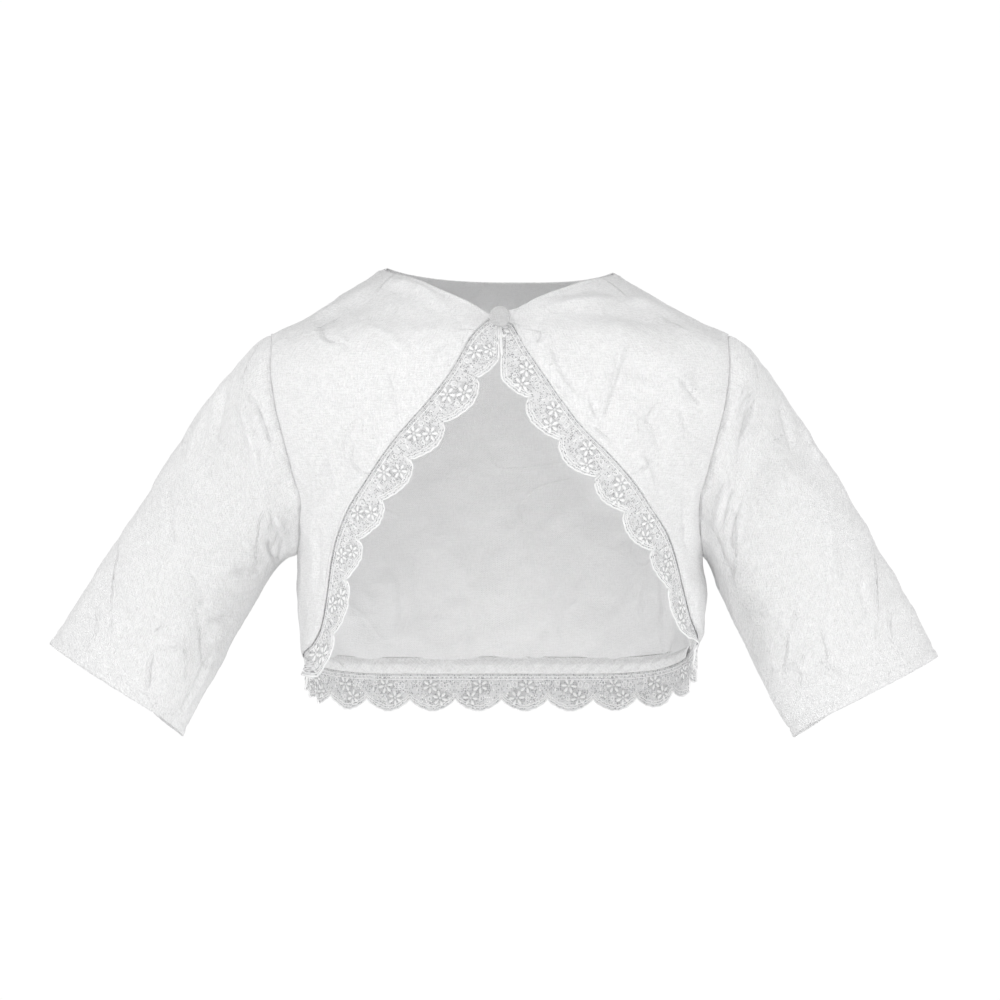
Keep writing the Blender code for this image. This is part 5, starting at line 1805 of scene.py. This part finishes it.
def linen_material(name, cloth_colour, relief=1.0):
    """Plain weave with uneven threads: slubs, painted shade between the threads, a few darker flecks and a
    crumpled surface.
    """
    nodes = Nodes(name, cloth_colour, ROUGHNESS["linen"])
    place = nodes.add("UVMap", uv_map="cloth")
    split = nodes.tree.nodes.new("ShaderNodeSeparateXYZ")
    nodes.tree.links.new(place, split.inputs[0])
    wander = nodes.noise(place, WANDER_SCALE, detail=1.0)
    threads = []
    for axis in ("X", "Y"):
        moved = nodes.math("MULTIPLY_ADD", wander, THREAD_WANDER, split.outputs[axis])
        threads.append(nodes.math("SINE", nodes.math("MULTIPLY", moved, 2 * math.pi / THREAD_PAIR)))
    weave = nodes.math("MULTIPLY", threads[0], threads[1])
    warp = nodes.noise(place, 1.0, WARP_SCALE, detail=3.0)
    weft = nodes.noise(place, 1.0, WEFT_SCALE, detail=3.0)
    grain = nodes.noise(place, GRAIN_SCALE, detail=1.0)
    slubs = nodes.math("ADD", warp, weft)
    slubs = nodes.math("MULTIPLY_ADD", nodes.math("SUBTRACT", grain, 0.5), 0.9, slubs)
    crumple = nodes.noise(place, CRUMPLE_SCALE, detail=3.0, distortion=0.3)
    ridges = nodes.off_middle(nodes.noise(place, RIDGE_SCALE, detail=2.0, distortion=1.1))
    off_line = nodes.off_middle(nodes.noise(place, LINE_SCALE, detail=1.0, distortion=0.45))
    line = nodes.ranged(off_line, 0.0, 0.022, 1.0, 0.0)
    shown = nodes.ranged(nodes.noise(place, LINE_PATCH_SCALE, detail=1.0), 0.48, 0.6)
    normal = nodes.bump(nodes.math("MULTIPLY", line, shown), LINE_HEIGHT * relief, 0.9)
    normal = nodes.bump(ridges, RIDGE_HEIGHT * relief, 0.7, normal)
    normal = nodes.bump(crumple, CRUMPLE_HEIGHT * relief, 0.8, normal)
    normal = nodes.bump(slubs, SLUB_HEIGHT * relief, 0.8, normal)
    nodes.link(nodes.bump(weave, WEAVE_HEIGHT, 0.9, normal), "Normal")
    # The slubs' own tone, and painted shade between the threads
    shade = nodes.ranged(nodes.math("MULTIPLY_ADD", weave, 0.06, slubs), 0.75, 1.2)
    flecks = nodes.noise(place, FLECK_SCALE, detail=0.0)
    fleck = nodes.ranged(flecks, 0.8, 0.85, 0.0, FLECK_SHARE * relief**3)
    colour = nodes.mixed(shade, shaded(cloth_colour, 1.0 - WEAVE_SHADE * relief), cloth_colour)
    nodes.link(nodes.mixed(fleck, colour, FLECK_COLOUR), "Base Color")
    return nodes.finish(Sheen_Weight=0.12, Sheen_Roughness=0.5, Specular_IOR_Level=0.25)


def net_material(name, colour):
    """Fine cotton net, greyed as painted shade, with darker meshes of painted shade for its holes, denser
    in some places.
    """
    nodes = Nodes(name, colour, ROUGHNESS["net"])
    place = nodes.add("UVMap", uv_map="cloth")
    cells = nodes.add("TexVoronoi", {"Vector": place, "Scale": NET_CELLS, "Randomness": 0.55})
    patchy = nodes.noise(place, NET_PATCH_SCALE, detail=2.0)
    closed = nodes.math("MULTIPLY_ADD", patchy, -0.55, 0.62)
    # Painted shade: the dark meshes stand for the shade in the net's holes
    hole_shade = nodes.ranged(nodes.math("SUBTRACT", closed, cells), -0.08, 0.12, 0.0, 0.85)
    nodes.link(nodes.mixed(hole_shade, colour, NET_SHADE), "Base Color")
    nodes.link(nodes.bump(hole_shade, -NET_DEPTH, 0.8), "Normal")
    return nodes.material


def thread_material(name, colour, twist, strength):
    """Cotton thread: fine twisted strands with a soft sheen."""
    nodes = Nodes(name, colour, ROUGHNESS["thread"])
    place = nodes.add("TexCoord", output="Object")
    strands = nodes.noise(place, twist, (1, 1, 1.7), detail=2.0, distortion=0.6)
    fuzz = nodes.noise(place, twist * 3.1, detail=1.0)
    normal = nodes.bump(strands, STRAND_HEIGHT, strength)
    nodes.link(nodes.bump(fuzz, FUZZ_HEIGHT, strength, normal), "Normal")
    shade = nodes.ranged(strands, 0.35, 0.65)
    nodes.link(nodes.mixed(shade, shaded(colour, THREAD_SHADE), colour), "Base Color")
    return nodes.finish(Sheen_Weight=0.2, Specular_IOR_Level=0.3)


def build_floor():
    """A pale floor, well below the garment, that pales into the white surround."""
    bpy.ops.mesh.primitive_circle_add(
        vertices=96, radius=FLOOR_RADIUS, fill_type="NGON", location=(0, 0, FLOOR_Z)
    )
    floor = bpy.context.object
    floor.name = "floor"
    nodes = Nodes("pale_floor", FLOOR_COLOUR, ROUGHNESS["floor"])
    place = nodes.add("TexCoord", output="Object")
    distance = nodes.add("VectorMath", {0: place}, output="Value", operation="LENGTH")
    inputs = {"Value": distance, "From Min": FLOOR_FADE[0], "From Max": FLOOR_FADE[1]}
    fade = nodes.add("MapRange", inputs, interpolation_type="SMOOTHSTEP")
    glow = nodes.add("Emission", {"Color": (1, 1, 1, 1), "Strength": 1.0})
    mixed = nodes.add("MixShader", {0: fade, 1: nodes.shader.outputs[0], 2: glow})
    nodes.tree.links.new(mixed, nodes.tree.nodes["Material Output"].inputs["Surface"])
    floor.data.materials.append(nodes.material)


def build_world():
    """An even white surround, which the camera sees brighter than the light that it gives."""
    world = bpy.data.worlds.new("white_surround")
    world.use_nodes = True
    bpy.context.scene.world = world
    tree = world.node_tree
    background = tree.nodes["Background"]
    background.inputs["Color"].default_value = (1, 1, 1, 1)
    path = tree.nodes.new("ShaderNodeLightPath")
    strength = tree.nodes.new("ShaderNodeMapRange")
    strength.inputs["To Min"].default_value = SURROUND_LIGHT
    strength.inputs["To Max"].default_value = SURROUND_SEEN
    tree.links.new(path.outputs["Is Camera Ray"], strength.inputs["Value"])
    tree.links.new(strength.outputs["Result"], background.inputs["Strength"])


def build_lights():
    """Soft round lamps that all face the garment."""
    for name, place, size, power in LAMPS:
        data = bpy.data.lights.new(name, "AREA")
        data.shape, data.size, data.energy = "DISK", size, power
        lamp = bpy.data.objects.new(name, data)
        lamp.location = place
        aim = np.array(LAMP_TARGET) - place
        lamp.rotation_euler = Vector(aim).to_track_quat("-Z", "Y").to_euler()
        bpy.context.scene.collection.objects.link(lamp)


def build_camera():
    data = bpy.data.cameras.new("camera")
    data.sensor_width = SENSOR_WIDTH
    data.lens = SENSOR_WIDTH * CAMERA_DISTANCE / VIEW_WIDTH
    camera = bpy.data.objects.new("camera", data)
    camera.location = (0, -CAMERA_DISTANCE, CAMERA_Z)
    camera.rotation_euler = (math.pi / 2, 0, 0)
    bpy.context.scene.collection.objects.link(camera)
    bpy.context.scene.camera = camera


def build_cloths(panels, linen, tape, thread):
    """The cloth pieces, each with the stitches that are sewn to it."""
    inside = linen_material("linen_inside", LINEN_COLOUR, INSIDE_RELIEF)
    cloths = {f"cloth_front_{side}": build_front(side, panels[side], linen) for side in SIDES}
    cloths["cloth_back"] = build_back(panels["back"], linen, inside)
    cuffs = {}
    for side in SIDES:
        cloths[f"cloth_sleeve_{side}"], *cuffs[side] = build_sleeve(side, linen)
    cloths["cloth_hem_band"] = build_band(panels["back"], tape)
    stitches = dict(build_stitches(panels, cuffs, thread))
    for name, cloth in cloths.items():
        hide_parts(name.replace("cloth_", ""))
        width, length, area = CUT[name]


def build_laces(panels):
    """The three lengths of lace."""
    # The second net's darker grey is painted shadow round the daisies
    nets = (net_material("white_net", NET_COLOUR), net_material("net_in_daisy_shadow", DAISY_SHADOW_NET_COLOUR))
    lace = thread_material("white_lace_thread", LACE_COLOUR, LACE_TWIST, 0.5)
    for name in ("right", "left", "back"):
        ground, embroidery = build_lace(name, panels[name], nets, lace)
        width, length, area = CUT[ground.name]


def main():
    linen = linen_material("white_linen", LINEN_COLOUR)
    tape = linen_material("white_bias_tape", BAND_COLOUR)
    thread = thread_material("white_sewing_thread", THREAD_COLOUR, SEWING_TWIST, 0.4)
    panels = {side: panel_of(front_net(side), on_left(BODY_FOLDS, side)) for side in SIDES}
    panels["back"] = panel_of(back_net(), BODY_FOLDS)
    build_cloths(panels, linen, tape, thread)
    build_laces(panels)
    foot, out, side = button_place()
    build_button(foot, out, side, linen_material("button_linen", BUTTON_COLOUR))
    build_loop(foot, out, side, thread)
    build_floor()
    build_world()
    build_lights()
    build_camera()
    bpy.context.scene.view_settings.view_transform = "Standard"


main()
